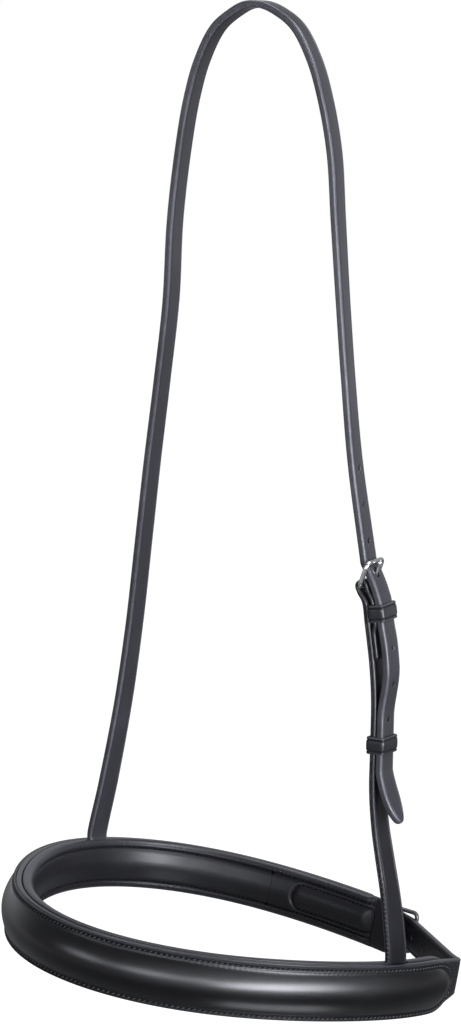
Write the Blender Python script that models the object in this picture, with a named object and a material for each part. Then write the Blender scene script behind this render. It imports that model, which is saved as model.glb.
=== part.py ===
"""Raised, padded noseband with its head strap, hanging as it does over a horse's poll.

+Z is up, +X is the side with the cheek buckle (the horse's left), and -Y is the front of the nose.
The origin is the flat seat under the crown of the head strap. Sizes below are in millimetres and
are turned into metres where a mesh or a curve is made.
"""

import math

import bmesh
import bpy
import numpy as np
from mathutils import Matrix, Vector

MM = 0.001

# Fits between pieces that are sewn together, slide on each other or turn on each other
SEAT_GAP = 0.3
KEEPER_GAP = 0.4
SLIDE_GAP = 0.4
PIN_GAP = 0.5
FOLD_GAP = 0.45
BUCKLE_PLAY = 1.0

# Noseband ring: an ellipse that hangs lower at the chin, with the slight swell and wave of soft leather
# given as waves per turn, cosine part and sine part. Ring angles run in degrees from +X to the chin.
RING_CENTRE = np.array([-10.4, -10.4, -466.5])
RING_PITCH = 14.7
RING_ACROSS = 111.6
RING_FORE_AFT = 118.7
RING_SWELL = ((2, 0.7, -1.1), (3, -3.1, 4.4))
RING_WAVE = (2, 1.1, -0.3)

# Noseband strap: full height over the nose, narrow where it is turned round its buckle and at its free end
BAND_HEIGHT = 27.0
BAND_THICK = 3.0
BILLET_HEIGHT = 17.5
CHIN_HEEL_ANGLE = 81.0
CHIN_TAPER = (85.5, 89.5)
BILLET_TAPER = (375.0, 400.0)
CORNER_ANGLE = 394.0
CORNER_OUT = 1.5
CORNER_BEND = 4.5

# Raised cover over its rounded core
COVER_THICK = 1.4
COVER_BORDER = 2.9
COVER_RISE = 3.4
COVER_ANGLES = (153.0, 387.0)
COVER_END = 20.0
COVER_RAMP = 14.0
COVER_TIP = 2.0
COVER_MARGIN = 0.5
CORE_INSET = 9.0

# Lining wrapped round its padding, a little taller than the strap
LINING_THICK = 1.2
LINING_DEPTH = 7.4
LINING_PROUD = 0.5
LINING_EDGE = 3.6
LINING_ANGLES = (122.1, 388.0)
LINING_CORNER = 0.8
LINING_END = 18.0
PADDING_INSET = 6.0

# Pad under the chin buckle
PAD_ANGLES = (77.3, 121.8)
PAD_COVER_FIRST = 85.0
PAD_OVAL_ANGLES = (86.4, 117.8)
PAD_BACK = 3.2
PAD_LEATHER = 1.2
PAD_DEPTH = 7.4
PAD_CORNER = 4.0
PAD_BORDER = 7.2
PAD_OVAL = 7.0
PAD_SKIVE = 1.3
PAD_SKIVE_ANGLES = (82.2, 86.5)

# Head strap and cheek strap: rows are x, y and z of the middle, and the azimuth that the face is turned to
STRAP_WIDTH = 13.5
HEAD_THICK = 3.4
CHEEK_THICK = 3.0
STRAP_POINT = 15.0
TWIST_CROWN = 20.0
CROWN_SEAT = 8.0
ARCH = ((12.2, 3.4), (21.2, 10.4), (29.6, 25.3), (35.4, 43.5), (40.2, 68.0))
ARCH_SKEW = 0.9
LEFT_LEG = (
    (-42.8, -13.6, -101.0, 20.0),
    (-48.9, -11.0, -141.3, 18.0),
    (-57.8, -9.2, -183.0, 17.0),
    (-67.3, -7.6, -226.1, 15.0),
    (-76.6, -5.8, -270.7, 13.5),
    (-86.2, -4.0, -316.8, 12.0),
    (-97.3, -2.9, -364.6, 8.0),
    (-110.4, -3.0, -414.0, 2.0),
)
RIGHT_LEG = (
    (41.3, 13.1, -97.5, 21.0),
    (46.2, 11.6, -134.9, 23.0),
    (51.8, 9.9, -172.5, 23.0),
    (57.9, 8.6, -210.3, 21.0),
)
CHEEK_LINE = (
    (60.8, 7.9, -228.0, 18.5),
    (64.7, 7.4, -247.5, 17.5),
    (68.6, 6.9, -267.0, 16.0),
    (72.4, 6.4, -286.3, 15.5),
    (76.2, 5.9, -305.7, 15.0),
    (79.0, 4.6, -323.0, 14.5),
    (80.9, 2.5, -339.5, 14.0),
    (82.2, 0.8, -353.5, 13.5),
    (83.7, -0.8, -368.0, 12.0),
    (86.9, -1.9, -386.5, 9.5),
    (90.6, -2.1, -403.0, 7.0),
    (94.6, -2.2, -421.0, 4.5),
)
CHEEK_HEEL_DROP = 42.4

# Pockets between strap and lining that hold the ends of the head strap and the cheek strap
LEFT_POCKET_ANGLE = 177.0
RIGHT_POCKET_ANGLE = 3.0
POCKET_DEPTH = 19.0
POCKET_RISE = 4.0
POCKET_GAP = 0.7
POCKET_LEAN = 4.0

# Buckles: wire radius, distance between the bars, lean of the frame, place of the heel bar, tongue radius
CHEEK_BUCKLE = {"wire": 1.1, "reach": 12.5, "lean": 28.0, "heel": -0.8, "tongue": 0.95}
CHIN_BUCKLE = {"wire": 1.2, "reach": 15.0, "lean": 18.0, "heel": 1.0, "tongue": 1.0}
FRAME_CORNER = 2.6
TONGUE_OVERHANG = 1.6
TONGUE_SLOT_MARGIN = 0.7
TONGUE_HOLE_MARGIN = 1.0

# Strap ends turned back round a heel bar
TURN_THICK = 1.9
FOLD_THICK = 1.8
SKIVED = 0.8
SKIVE_LENGTH = 5.0
CHEEK_TURN_END = 36.0
CHIN_TURN_END = 47.0

# Keepers, at distances past their heel bar
KEEPER_LEATHER = 1.0
KEEPER_TALL = 8.4
KEEPER_CORNER = 1.7
CHEEK_KEEPER_AT = 13.5
CHEEK_RUNNER_AT = 77.4
CHIN_KEEPERS_AT = (14.5, 37.0)

# Free ends past their heel bar: distance, and share of the height that the turned end lifts them to
CHEEK_CLIMB = ((-4.5, 0.55), (2.5, 0.84), (9.5, 1.0), (18.5, 1.0), (29.0, 1.07), (40.0, 1.05))
CHIN_CLIMB = ((-6.0, 0.66), (0.0, 0.94), (9.5, 1.0), (44.0, 1.0), (54.0, 0.9), (66.0, 0.86))
RUNNER_FLAT = (64.4, 89.4)
CHEEK_CURL = ((97.4, 1.8), (106.4, 4.4), (116.4, 7.8))

# Punched holes, numbered from the one that the tongue is in
HOLE_RADIUS = 1.3
HEAD_HOLE_PITCH = 17.6
HEAD_HOLES = (-3, -2, -1, 1, 2, 3, 4)
CHIN_HOLE_PITCH = 19.0
CHIN_HOLES = (-2, -1, 1, 2)

# Fineness of the meshes
EDGE_CHAMFER = 0.5
LONG_STEP = 8.0
FOLD_STEP = 2.6
ROUTE_STEP = 0.5
SMOOTH_UNDER = 40.0

# Looks: colour, roughness and metallic value
BLACK_LEATHER = ((0.012, 0.012, 0.014, 1.0), 0.42, 0.0)
SOFT_LEATHER = ((0.016, 0.016, 0.018, 1.0), 0.55, 0.0)
FOAM = ((0.10, 0.10, 0.11, 1.0), 0.9, 0.0)
STEEL = ((0.62, 0.62, 0.64, 1.0), 0.22, 1.0)


# Small helpers
def clear_scene():
    for obj in list(bpy.data.objects):
        bpy.data.objects.remove(obj, do_unlink=True)
    for collection in list(bpy.data.collections):
        bpy.data.collections.remove(collection)


def new_collection(name):
    collection = bpy.data.collections.new(name)
    bpy.context.scene.collection.children.link(collection)
    return collection


def material(name, look):
    colour, roughness, metallic = look
    made = bpy.data.materials.new(name)
    made.use_nodes = True
    shader = made.node_tree.nodes["Principled BSDF"]
    shader.inputs["Base Color"].default_value = colour
    shader.inputs["Roughness"].default_value = roughness
    shader.inputs["Metallic"].default_value = metallic
    made.diffuse_color = colour
    return made


def unit(vectors):
    return vectors / np.linalg.norm(vectors, axis=-1, keepdims=True)


def ease(x):
    """A smooth rise from 0 to 1 as x goes from 0 to 1."""
    x = np.clip(x, 0.0, 1.0)
    return x * x * (3.0 - 2.0 * x)


def steps(start, end, size):
    count = max(1, int(round(abs(end - start) / size)))
    return np.linspace(start, end, count + 1)


def run_length(points):
    """Distance along a line at each of its points."""
    return np.r_[0.0, np.cumsum(np.linalg.norm(np.diff(points, axis=0), axis=1))]


def read_line(values, length, at):
    """Rows of values, known at the distances in length, read at the distances in at."""
    return np.stack([np.interp(at, length, values[:, k]) for k in range(values.shape[1])], -1)


def hermite(start, end, leave, arrive, t):
    """A cubic from start to end that leaves and arrives with these slopes."""
    return (
        (2 * t**3 - 3 * t**2 + 1) * start
        + (t**3 - 2 * t**2 + t) * leave
        + (3 * t**2 - 2 * t**3) * end
        + (t**3 - t**2) * arrive
    )


def through(points, sides, size):
    """A smooth line through points, with a station on each, and a side direction blended between them."""
    points = np.asarray(points, float)
    sides = np.asarray(sides, float)
    sizes = np.broadcast_to(size, len(points) - 1)
    grip = np.r_[0.0, np.cumsum(np.linalg.norm(np.diff(points, axis=0), axis=1) ** 0.5)]
    slopes = np.gradient(points, grip, axis=0)
    line, side = [], []
    for i, span in enumerate(np.diff(grip)):
        count = max(1, int(round(span**2 / sizes[i])))
        t = np.linspace(0.0, 1.0, count, endpoint=False)[:, None]
        line.append(hermite(points[i], points[i + 1], span * slopes[i], span * slopes[i + 1], t))
        side.append((1 - t) * sides[i] + t * sides[i + 1])
    return np.vstack([*line, points[-1:]]), np.vstack([*side, sides[-1:]])


# Ring geometry
PITCH = math.radians(RING_PITCH)
RING_U = np.array([1.0, 0.0, 0.0])
RING_N = np.array([0.0, math.sin(PITCH), math.cos(PITCH)])
RING_V = np.cross(RING_N, RING_U)
PER_DEGREE = math.radians(1.0) * 0.5 * (RING_ACROSS + RING_FORE_AFT)


def ring_flat(angle):
    """The inner face of the band in the ring's own plane, across and fore-aft."""
    t = np.radians(np.asarray(angle, float))
    swell = sum(c * np.cos(k * t) + s * np.sin(k * t) for k, c, s in RING_SWELL)
    return (RING_ACROSS + swell) * np.cos(t), (RING_FORE_AFT + swell) * np.sin(t)


def ring_tangent(angle):
    """Directions along the ring as the angle grows."""
    ahead = ring_flat(np.asarray(angle, float) + 0.05)
    behind = ring_flat(np.asarray(angle, float) - 0.05)
    across = (ahead[0] - behind[0])[..., None]
    fore_aft = (ahead[1] - behind[1])[..., None]
    return unit(across * RING_U + fore_aft * RING_V)


def ring_normal(angle):
    return np.cross(ring_tangent(angle), RING_N)


def ring_point(angle, out=0.0, up=0.0):
    """Points beside the inner face of the band: out is away from the nose, up is along the band's height."""
    t = np.radians(np.asarray(angle, float))
    out = np.asarray(out, float)[..., None]
    order, cos_part, sin_part = RING_WAVE
    up = (up + cos_part * np.cos(order * t) + sin_part * np.sin(order * t))[..., None]
    across, fore_aft = ring_flat(angle)
    flat = across[..., None] * RING_U + fore_aft[..., None] * RING_V
    return RING_CENTRE + flat + out * ring_normal(angle) + up * RING_N


def ring_angle(points):
    """Ring angles of a run of points, growing without a break."""
    across = (points - RING_CENTRE) @ RING_U / RING_ACROSS
    fore_aft = (points - RING_CENTRE) @ RING_V / RING_FORE_AFT
    return np.unwrap(np.degrees(np.arctan2(fore_aft, across)), period=360.0)


class Route:
    """A smooth line through points, with an outward direction and a width direction at each distance."""

    def __init__(self, points, outward):
        self.place, self.out = through(points, unit(np.asarray(outward, float)), ROUTE_STEP)
        self.length = run_length(self.place)
        self.along = unit(np.gradient(self.place, self.length, axis=0))

    def frame(self, distance):
        """Place, along, outward and width directions at distances, carried on straight past the ends."""
        distance = np.asarray(distance, float)
        inside = np.clip(distance, 0.0, self.length[-1])
        along = unit(read_line(self.along, self.length, inside))
        place = read_line(self.place, self.length, inside) + (distance - inside)[..., None] * along
        out = read_line(self.out, self.length, inside)
        out = unit(out - along * np.sum(out * along, -1, keepdims=True))
        return place, along, out, np.cross(along, out)

    def raised(self, distance, rise):
        """Points at these distances, lifted outward."""
        place, _, out, _ = self.frame(distance)
        return place + np.asarray(rise, float)[..., None] * out

    def nearest(self, point):
        return float(self.length[np.argmin(np.linalg.norm(self.place - point, axis=1))])


# Meshes
def mesh_object(name, points, faces, group, look):
    mesh = bpy.data.meshes.new(name)
    mesh.from_pydata([tuple(p) for p in np.asarray(points) * MM], [], faces)
    shell = bmesh.new()
    shell.from_mesh(mesh)
    bmesh.ops.recalc_face_normals(shell, faces=shell.faces)
    shell.to_mesh(mesh)
    shell.free()
    obj = bpy.data.objects.new(name, mesh)
    group.objects.link(obj)
    if look:
        mesh.materials.append(material(name, look))
        mesh.shade_smooth()
        mesh.set_sharp_from_angle(angle=math.radians(SMOOTH_UNDER))
    return obj


def loft(name, sections, group, look):
    """One closed body through sections of equal point count, capped at both ends."""
    sections = np.asarray(sections, float)
    count, around, _ = sections.shape
    faces = []
    for i in range(count - 1):
        for j in range(around):
            k = (j + 1) % around
            faces.append((i * around + j, i * around + k, (i + 1) * around + k, (i + 1) * around + j))
    faces.append(tuple(range(around)))
    faces.append(tuple((count - 1) * around + j for j in reversed(range(around))))
    return mesh_object(name, sections.reshape(-1, 3), faces, group, look)


def strap_along(name, centre, wide, half_width, half_thick, group, look):
    """A strap with cut corners whose middle runs through the given points, with its width kept along wide."""
    along = unit(np.gradient(centre, axis=0))
    wide = unit(wide - along * np.sum(wide * along, -1, keepdims=True))
    out = np.cross(wide, along)
    half_width = np.broadcast_to(half_width, len(centre))[:, None]
    half_thick = np.broadcast_to(half_thick, len(centre))[:, None]
    corner = np.minimum(EDGE_CHAMFER, 0.45 * np.minimum(half_thick, half_width))
    signs = np.array([(1, 1), (1, 1), (-1, 1), (-1, 1), (-1, -1), (-1, -1), (1, -1), (1, -1)], float)
    inset = np.array([(0, 1), (1, 0), (1, 0), (0, 1), (0, 1), (1, 0), (1, 0), (0, 1)], float)
    across = (signs[:, 0] * (half_width - inset[:, 0] * corner))[..., None]
    deep = (signs[:, 1] * (half_thick - inset[:, 1] * corner))[..., None]
    sections = centre[:, None, :] + across * wide[:, None, :] + deep * out[:, None, :]
    return loft(name, sections, group, look)


def ring_strap(name, angles, profiles, look):
    """A piece that follows the ring, with a section of (out, up) pairs at each angle."""
    sections = []
    for angle, profile in zip(angles, profiles):
        out, up = np.array(profile).T
        sections.append(ring_point(np.full(len(out), angle), out, up))
    return loft(name, sections, PARTS, look)


def placed(obj, place, axes):
    """Puts an object made round its own origin at a place, with its x, y and z along the axes."""
    matrix = Matrix.Identity(4)
    for column, axis in enumerate(axes):
        for row in range(3):
            matrix[row][column] = axis[row]
    matrix.translation = Vector(place) * MM
    obj.matrix_world = matrix
    return obj


def add_outline(data, points, closed):
    spline = data.splines.new("POLY")
    spline.points.add(len(points) - 1)
    for point, place in zip(spline.points, points):
        point.co = (place[0] * MM, place[1] * MM, place[2] * MM, 1.0)
    spline.use_cyclic_u = closed
    spline.use_smooth = True


def wire_object(name, points, radius, closed):
    """A round steel wire through points."""
    data = bpy.data.curves.new(name, "CURVE")
    data.dimensions = "3D"
    data.bevel_depth = radius * MM
    data.bevel_resolution = 2
    data.use_fill_caps = not closed
    add_outline(data, points, closed)
    data.materials.append(material(name, STEEL))
    obj = bpy.data.objects.new(name, data)
    PARTS.objects.link(obj)
    return obj


def rounded_box(low_x, high_x, low_y, high_y, radius, per_corner=4):
    """Outline of a rectangle with round corners."""
    corners = (
        (high_x - radius, high_y - radius, 0.0),
        (low_x + radius, high_y - radius, 90.0),
        (low_x + radius, low_y + radius, 180.0),
        (high_x - radius, low_y + radius, 270.0),
    )
    points = []
    for x, y, start in corners:
        for turn in np.radians(np.linspace(start, start + 90.0, per_corner + 1)):
            points.append((x + radius * math.cos(turn), y + radius * math.sin(turn), 0.0))
    return points


def flat_loop(name, outer, inner, height):
    """A leather loop: a flat outline with an opening, given its height."""
    data = bpy.data.curves.new(name, "CURVE")
    data.dimensions = "2D"
    data.fill_mode = "BOTH"
    data.extrude = 0.5 * height * MM
    add_outline(data, outer, True)
    add_outline(data, inner, True)
    data.materials.append(material(name, BLACK_LEATHER))
    obj = bpy.data.objects.new(name, data)
    PARTS.objects.link(obj)
    return obj


def as_cutter(obj):
    obj.hide_render = True
    obj.display_type = "WIRE"
    return obj


def pins(name, places, axes, radius, length):
    """Round cutters standing at places along axes."""
    body = bmesh.new()
    for place, axis in zip(places, axes):
        turn = Vector((0.0, 0.0, 1.0)).rotation_difference(Vector(axis)).to_matrix().to_4x4()
        bmesh.ops.create_cone(
            body,
            cap_ends=True,
            segments=14,
            radius1=radius * MM,
            radius2=radius * MM,
            depth=length * MM,
            matrix=Matrix.Translation(Vector(place) * MM) @ turn,
        )
    mesh = bpy.data.meshes.new(name)
    body.to_mesh(mesh)
    body.free()
    obj = bpy.data.objects.new(name, mesh)
    CUTTERS.objects.link(obj)
    return as_cutter(obj)


def cut(obj, cutter):
    modifier = obj.modifiers.new("cut_" + cutter.name, "BOOLEAN")
    modifier.operation = "DIFFERENCE"
    modifier.solver = "EXACT"
    modifier.object = cutter


clear_scene()
PARTS = new_collection("padded_noseband")
CUTTERS = new_collection("cutters")


# Routes
def facing(azimuth):
    a = math.radians(azimuth)
    return np.array([math.cos(a), math.sin(a), 0.0])


def beside(azimuth):
    a = math.radians(azimuth)
    return np.array([math.sin(a), -math.cos(a), 0.0])


def pocket_points(angle, lean, thick):
    """A strap end's points above the rim of the band, at the rim and at its stop, inside the band's wall."""
    out = -POCKET_GAP - 0.5 * thick
    turn = lean * POCKET_LEAN / PER_DEGREE / POCKET_DEPTH
    return [
        ring_point(angle + turn * down, out, 0.5 * BAND_HEIGHT - down)
        for down in (-POCKET_RISE, 0.0, POCKET_DEPTH)
    ]


right_pocket = pocket_points(RIGHT_POCKET_ANGLE, 1.0, CHEEK_THICK)
left_pocket = pocket_points(LEFT_POCKET_ANGLE, -1.0, HEAD_THICK)

cheek_points = [row[:3] for row in CHEEK_LINE] + right_pocket
cheek_facing = [facing(row[3]) for row in CHEEK_LINE] + [ring_normal(RIGHT_POCKET_ANGLE)] * 3
CHEEK = Route(cheek_points, cheek_facing)
CHEEK_HEEL = CHEEK.nearest(np.array(CHEEK_LINE[0][:3])) + CHEEK_HEEL_DROP

ring_turns = np.arange(CHIN_HEEL_ANGLE - 24.0, CHIN_HEEL_ANGLE + 400.0, 2.0)
CHIN = Route(ring_point(ring_turns, 0.5 * BAND_THICK), ring_normal(ring_turns))
CHIN_HEEL = CHIN.nearest(ring_point(CHIN_HEEL_ANGLE, 0.5 * BAND_THICK))
chin_lap = 0.5 * CHIN.length[-1]
closing_place = ring_point(CHIN_HEEL_ANGLE, 0.5 * BAND_THICK)
late = CHIN.length > chin_lap
CHIN_CLOSING = float(CHIN.length[late][np.argmin(np.linalg.norm(CHIN.place[late] - closing_place, axis=1))])


# Buckles and what goes round or through them
def lifted_by_turn(thick, free_thick):
    """Rise of a free end's middle over the strap, a keeper's inner leg and the turned end."""
    return 0.5 * (thick + free_thick) + KEEPER_LEATHER + TURN_THICK + 3.0 * SEAT_GAP


def under_end_bar(buckle, free_thick):
    """Distance and rise of a free end's middle where it passes under the end bar."""
    lean = math.radians(buckle["lean"])
    clear = buckle["wire"] + SEAT_GAP + 0.5 * free_thick
    rise = buckle["heel"] + buckle["reach"] * math.sin(lean) - clear / math.cos(lean)
    return -buckle["reach"] * math.cos(lean), rise


def level_slopes(values, knots):
    """Slopes at knots for a curve that never overshoots: 0 at a peak, a dip or beside a level stretch."""
    rate = np.diff(values) / np.diff(knots)
    both = rate[:-1] * rate[1:]
    inner = np.where(both > 0, 2.0 * both / np.where(both > 0, rate[:-1] + rate[1:], 1.0), 0.0)
    return np.r_[rate[0], inner, rate[-1]]


def free_end(route, heel, table):
    """Middle points of a strap that crosses its buckle, through distances and rises from the table."""
    knots, rises = np.array(table).T
    slopes = level_slopes(rises, knots)
    at, rise = [knots[:1]], [rises[:1]]
    for i, span in enumerate(np.diff(knots)):
        size = FOLD_STEP if knots[i + 1] <= 20.0 else 2.0 * FOLD_STEP
        t = np.linspace(0.0, 1.0, max(1, int(round(span / size))) + 1)[1:]
        at.append(knots[i] + span * t)
        rise.append(hermite(rises[i], rises[i + 1], span * slopes[i], span * slopes[i + 1], t))
    at = np.concatenate(at)
    return at, route.raised(heel + at, np.concatenate(rise))


def turned_end(buckle, turn_end, keepers, thick):
    """Distances, rises and half thicknesses of an end turned back round a heel bar, from its skived tip."""
    fold = buckle["wire"] + FOLD_GAP + 0.5 * FOLD_THICK
    low = 0.5 * thick + SEAT_GAP + 0.5 * TURN_THICK
    high = low + KEEPER_LEATHER + SEAT_GAP
    reach = 0.5 * KEEPER_TALL + 2.0 * SEAT_GAP
    corners = [(turn_end, low), (turn_end - SKIVE_LENGTH, low)]
    for keeper_at in reversed(keepers):
        if keeper_at + reach + SKIVE_LENGTH < corners[-1][0]:
            corners.append((keeper_at + reach + SKIVE_LENGTH, low))
        corners += [(keeper_at + reach, high), (keeper_at - reach, high)]
        if keeper_at != keepers[0]:
            corners.append((keeper_at - reach - SKIVE_LENGTH, low))
    line = []
    for (start, rise_start), (end, rise_end) in zip(corners[:-1], corners[1:]):
        for t in np.linspace(0.0, 1.0, max(1, int(round(abs(start - end) / 4.5))), endpoint=False):
            line.append((start + (end - start) * t, rise_start + (rise_end - rise_start) * ease(t)))
    line.append(corners[-1])
    root = corners[-1][0]
    half = [0.5 * TURN_THICK] * len(line)
    half[0] = 0.5 * SKIVED
    for t in (0.35, 0.68):
        line.append((root * (1 - t), high + (buckle["heel"] + fold - high) * ease(t)))
        half.append(0.5 * TURN_THICK)
    for turn in np.radians(np.linspace(90.0, 270.0, 9)):
        line.append((fold * math.cos(turn), buckle["heel"] + fold * math.sin(turn)))
        half.append(0.5 * FOLD_THICK)
    for t in (0.35, 0.7, 1.0):
        line.append((root * t, (buckle["heel"] - fold) * (1 - ease(t))))
        half.append(0.5 * (FOLD_THICK + t * (thick - FOLD_THICK)))
    line = np.array(line)
    return line[:, 0], line[:, 1], np.array(half)


def pointed(distance_to_tip, half_width):
    """Half width of a strap that ends in a rounded point."""
    x = np.clip(distance_to_tip / STRAP_POINT, 0.0, 1.0)
    return half_width * np.maximum(np.sqrt(1.0 - (1.0 - x) ** 1.7), 0.12)


def buckle_axes(route, heel, buckle):
    """Centre of the heel bar, and the frame's directions: along the bar, towards the end bar, outward."""
    place, along, out, _ = route.frame(heel)
    lean = math.radians(buckle["lean"])
    reach = -math.cos(lean) * along + math.sin(lean) * out
    face = math.cos(lean) * out + math.sin(lean) * along
    return place + buckle["heel"] * out, np.cross(reach, face), reach, face


def buckle_frame(name, route, heel, buckle, strap_width):
    half = 0.5 * strap_width + BUCKLE_PLAY + buckle["wire"]
    outline = rounded_box(-half, half, 0.0, buckle["reach"], FRAME_CORNER, 5)
    place, *axes = buckle_axes(route, heel, buckle)
    return placed(wire_object(name, outline, buckle["wire"], True), place, axes)


def tongue_radius(buckle):
    """Radius of the tongue's middle line round the heel bar."""
    return buckle["wire"] + PIN_GAP + buckle["tongue"]


def buckle_tongue(name, route, heel, buckle):
    radius = tongue_radius(buckle)
    points = []
    for turn in np.radians(np.linspace(352.0, 90.0, 15)):
        points.append((0.0, radius * math.cos(turn), radius * math.sin(turn)))
    for share in (0.35, 0.7, 1.0):
        points.append((0.0, share * (buckle["reach"] + TONGUE_OVERHANG), radius))
    place, *axes = buckle_axes(route, heel, buckle)
    return placed(wire_object(name, points, buckle["tongue"], False), place, axes)


def tongue_crossing(route, heel, buckle):
    """Where the tongue passes through the strap, and its direction there."""
    place, _, reach, face = buckle_axes(route, heel, buckle)
    return place + 0.45 * buckle["reach"] * reach + tongue_radius(buckle) * face, reach


def tongue_cutter(name, route, heel, buckle):
    middle, reach = tongue_crossing(route, heel, buckle)
    return pins(name, [middle], [reach], buckle["tongue"] + TONGUE_HOLE_MARGIN, 0.8 * buckle["reach"])


def slot_cutter(name, route, heel, buckle):
    """The slot in a folded strap end that leaves the tongue free."""
    half = buckle["tongue"] + TONGUE_SLOT_MARGIN
    depth = tongue_radius(buckle) + buckle["tongue"] + TONGUE_OVERHANG
    place, along, out, wide = route.frame(heel)
    centre = place + buckle["heel"] * out
    middle = np.array([centre - depth * along, centre + depth * along])
    cutter = strap_along(name, middle, np.array([wide, wide]), half, 1.5 * depth, CUTTERS, None)
    return as_cutter(cutter)


def keeper(name, route, at, low, high, half_width):
    """A leather loop round a stack of straps, between rises low and high on its inside."""
    leather = KEEPER_LEATHER
    outer = rounded_box(
        -half_width - leather, half_width + leather, low - leather, high + leather, KEEPER_CORNER
    )
    inner = rounded_box(-half_width, half_width, low, high, KEEPER_CORNER - leather)
    place, _, out, wide = route.frame(at)
    return placed(flat_loop(name, outer, inner, KEEPER_TALL), place, (wide, out, np.cross(wide, out)))


def punched(strap, name, centre, wide, crossing, pitch, numbers):
    """Cuts round holes along the free half of a strap, spaced from the one that the tongue is in."""
    length = run_length(centre)
    first_free = len(centre) // 2
    tongue_at = length[first_free + np.argmin(np.linalg.norm(centre[first_free:] - crossing, axis=1))]
    at = tongue_at + pitch * np.array(numbers)
    out = np.cross(wide, unit(np.gradient(centre, length, axis=0)))
    axes = unit(read_line(out, length, at))
    cut(strap, pins(name, read_line(centre, length, at), axes, HOLE_RADIUS, 2.5 * HEAD_THICK))


# Head strap: left pocket, left leg, arch over the poll, right leg, then its free end over the buckle
cheek_over = lifted_by_turn(CHEEK_THICK, HEAD_THICK)
runner_rise = 0.5 * (CHEEK_THICK + HEAD_THICK) + SLIDE_GAP
cheek_table = [under_end_bar(CHEEK_BUCKLE, HEAD_THICK)]
cheek_table += [(at, share * cheek_over) for at, share in CHEEK_CLIMB]
cheek_table += [(at, runner_rise) for at in RUNNER_FLAT]
cheek_table += [(at, runner_rise + curl) for at, curl in CHEEK_CURL]
billet_at, billet_points = free_end(CHEEK, CHEEK_HEEL, cheek_table)
billet_wide = CHEEK.frame(CHEEK_HEEL + billet_at)[3]

crown_top = np.array([0.0, 0.0, 0.5 * HEAD_THICK])
crown_run = facing(TWIST_CROWN)
crown_wide = beside(TWIST_CROWN)
knots = [(point, ring_tangent(LEFT_POCKET_ANGLE)) for point in reversed(left_pocket)]
knots += [(row[:3], beside(row[3])) for row in reversed(LEFT_LEG)]
knots += [
    (crown_top - (span - ARCH_SKEW) * crown_run - (0, 0, drop), crown_wide) for span, drop in reversed(ARCH)
]
knots += [(crown_top + side * 0.5 * CROWN_SEAT * crown_run, crown_wide) for side in (-1, 1)]
knots += [(crown_top + span * crown_run - (0, 0, drop), crown_wide) for span, drop in ARCH]
knots += [(row[:3], beside(row[3])) for row in RIGHT_LEG]
knots.append((billet_points[0], billet_wide[0]))
leg_centre, leg_wide = through([k[0] for k in knots], [k[1] for k in knots], LONG_STEP)
head_centre = np.vstack([leg_centre, billet_points[1:]])
head_wide = np.vstack([leg_wide, billet_wide[1:]])
head_length = run_length(head_centre)
head_half = pointed(head_length[-1] - head_length, 0.5 * STRAP_WIDTH)
head_strap = strap_along(
    "head_strap", head_centre, head_wide, head_half, 0.5 * HEAD_THICK, PARTS, BLACK_LEATHER
)
cut(head_strap, tongue_cutter("head_tongue_hole", CHEEK, CHEEK_HEEL, CHEEK_BUCKLE))
cheek_crossing = tongue_crossing(CHEEK, CHEEK_HEEL, CHEEK_BUCKLE)[0]
punched(head_strap, "head_holes", head_centre, head_wide, cheek_crossing, HEAD_HOLE_PITCH, HEAD_HOLES)

# Cheek strap: its end turned back round the heel bar, then down into the right pocket
turn_at, turn_rise, turn_half = turned_end(CHEEK_BUCKLE, CHEEK_TURN_END, (CHEEK_KEEPER_AT,), CHEEK_THICK)
run_at = steps(turn_at[-1], CHEEK.length[-1] - CHEEK_HEEL, LONG_STEP)[1:]
cheek_at = CHEEK_HEEL + np.r_[turn_at, run_at]
cheek_rise = np.r_[turn_rise, np.zeros(len(run_at))]
cheek_half = np.r_[turn_half, np.full(len(run_at), 0.5 * CHEEK_THICK)]
cheek_strap = strap_along(
    "cheek_strap",
    CHEEK.raised(cheek_at, cheek_rise),
    CHEEK.frame(cheek_at)[3],
    0.5 * STRAP_WIDTH,
    cheek_half,
    PARTS,
    BLACK_LEATHER,
)
cut(cheek_strap, slot_cutter("cheek_fold_slot", CHEEK, CHEEK_HEEL, CHEEK_BUCKLE))
buckle_frame("cheek_buckle_frame", CHEEK, CHEEK_HEEL, CHEEK_BUCKLE, STRAP_WIDTH)
buckle_tongue("cheek_buckle_tongue", CHEEK, CHEEK_HEEL, CHEEK_BUCKLE)
keeper(
    "cheek_fixed_keeper",
    CHEEK,
    CHEEK_HEEL + CHEEK_KEEPER_AT,
    0.5 * CHEEK_THICK + SEAT_GAP + KEEPER_LEATHER,
    cheek_over + 0.5 * HEAD_THICK + KEEPER_GAP,
    0.5 * STRAP_WIDTH + KEEPER_GAP,
)
keeper(
    "cheek_runner_keeper",
    CHEEK,
    CHEEK_HEEL + CHEEK_RUNNER_AT,
    -0.5 * CHEEK_THICK - SLIDE_GAP,
    runner_rise + 0.5 * HEAD_THICK + SLIDE_GAP,
    0.5 * STRAP_WIDTH + SLIDE_GAP,
)


# Noseband strap: chin end turned round its buckle, round the ring to the corner where its padding ends,
# then straight to the buckle and over it to its point
def half_height(angle):
    """Half height of the noseband strap at ring angles."""
    grow = ease((angle - CHIN_TAPER[0]) / (CHIN_TAPER[1] - CHIN_TAPER[0]))
    grow = grow * (1.0 - ease((angle - BILLET_TAPER[0]) / (BILLET_TAPER[1] - BILLET_TAPER[0])))
    return 0.5 * (BILLET_HEIGHT + (BAND_HEIGHT - BILLET_HEIGHT) * grow)


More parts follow.
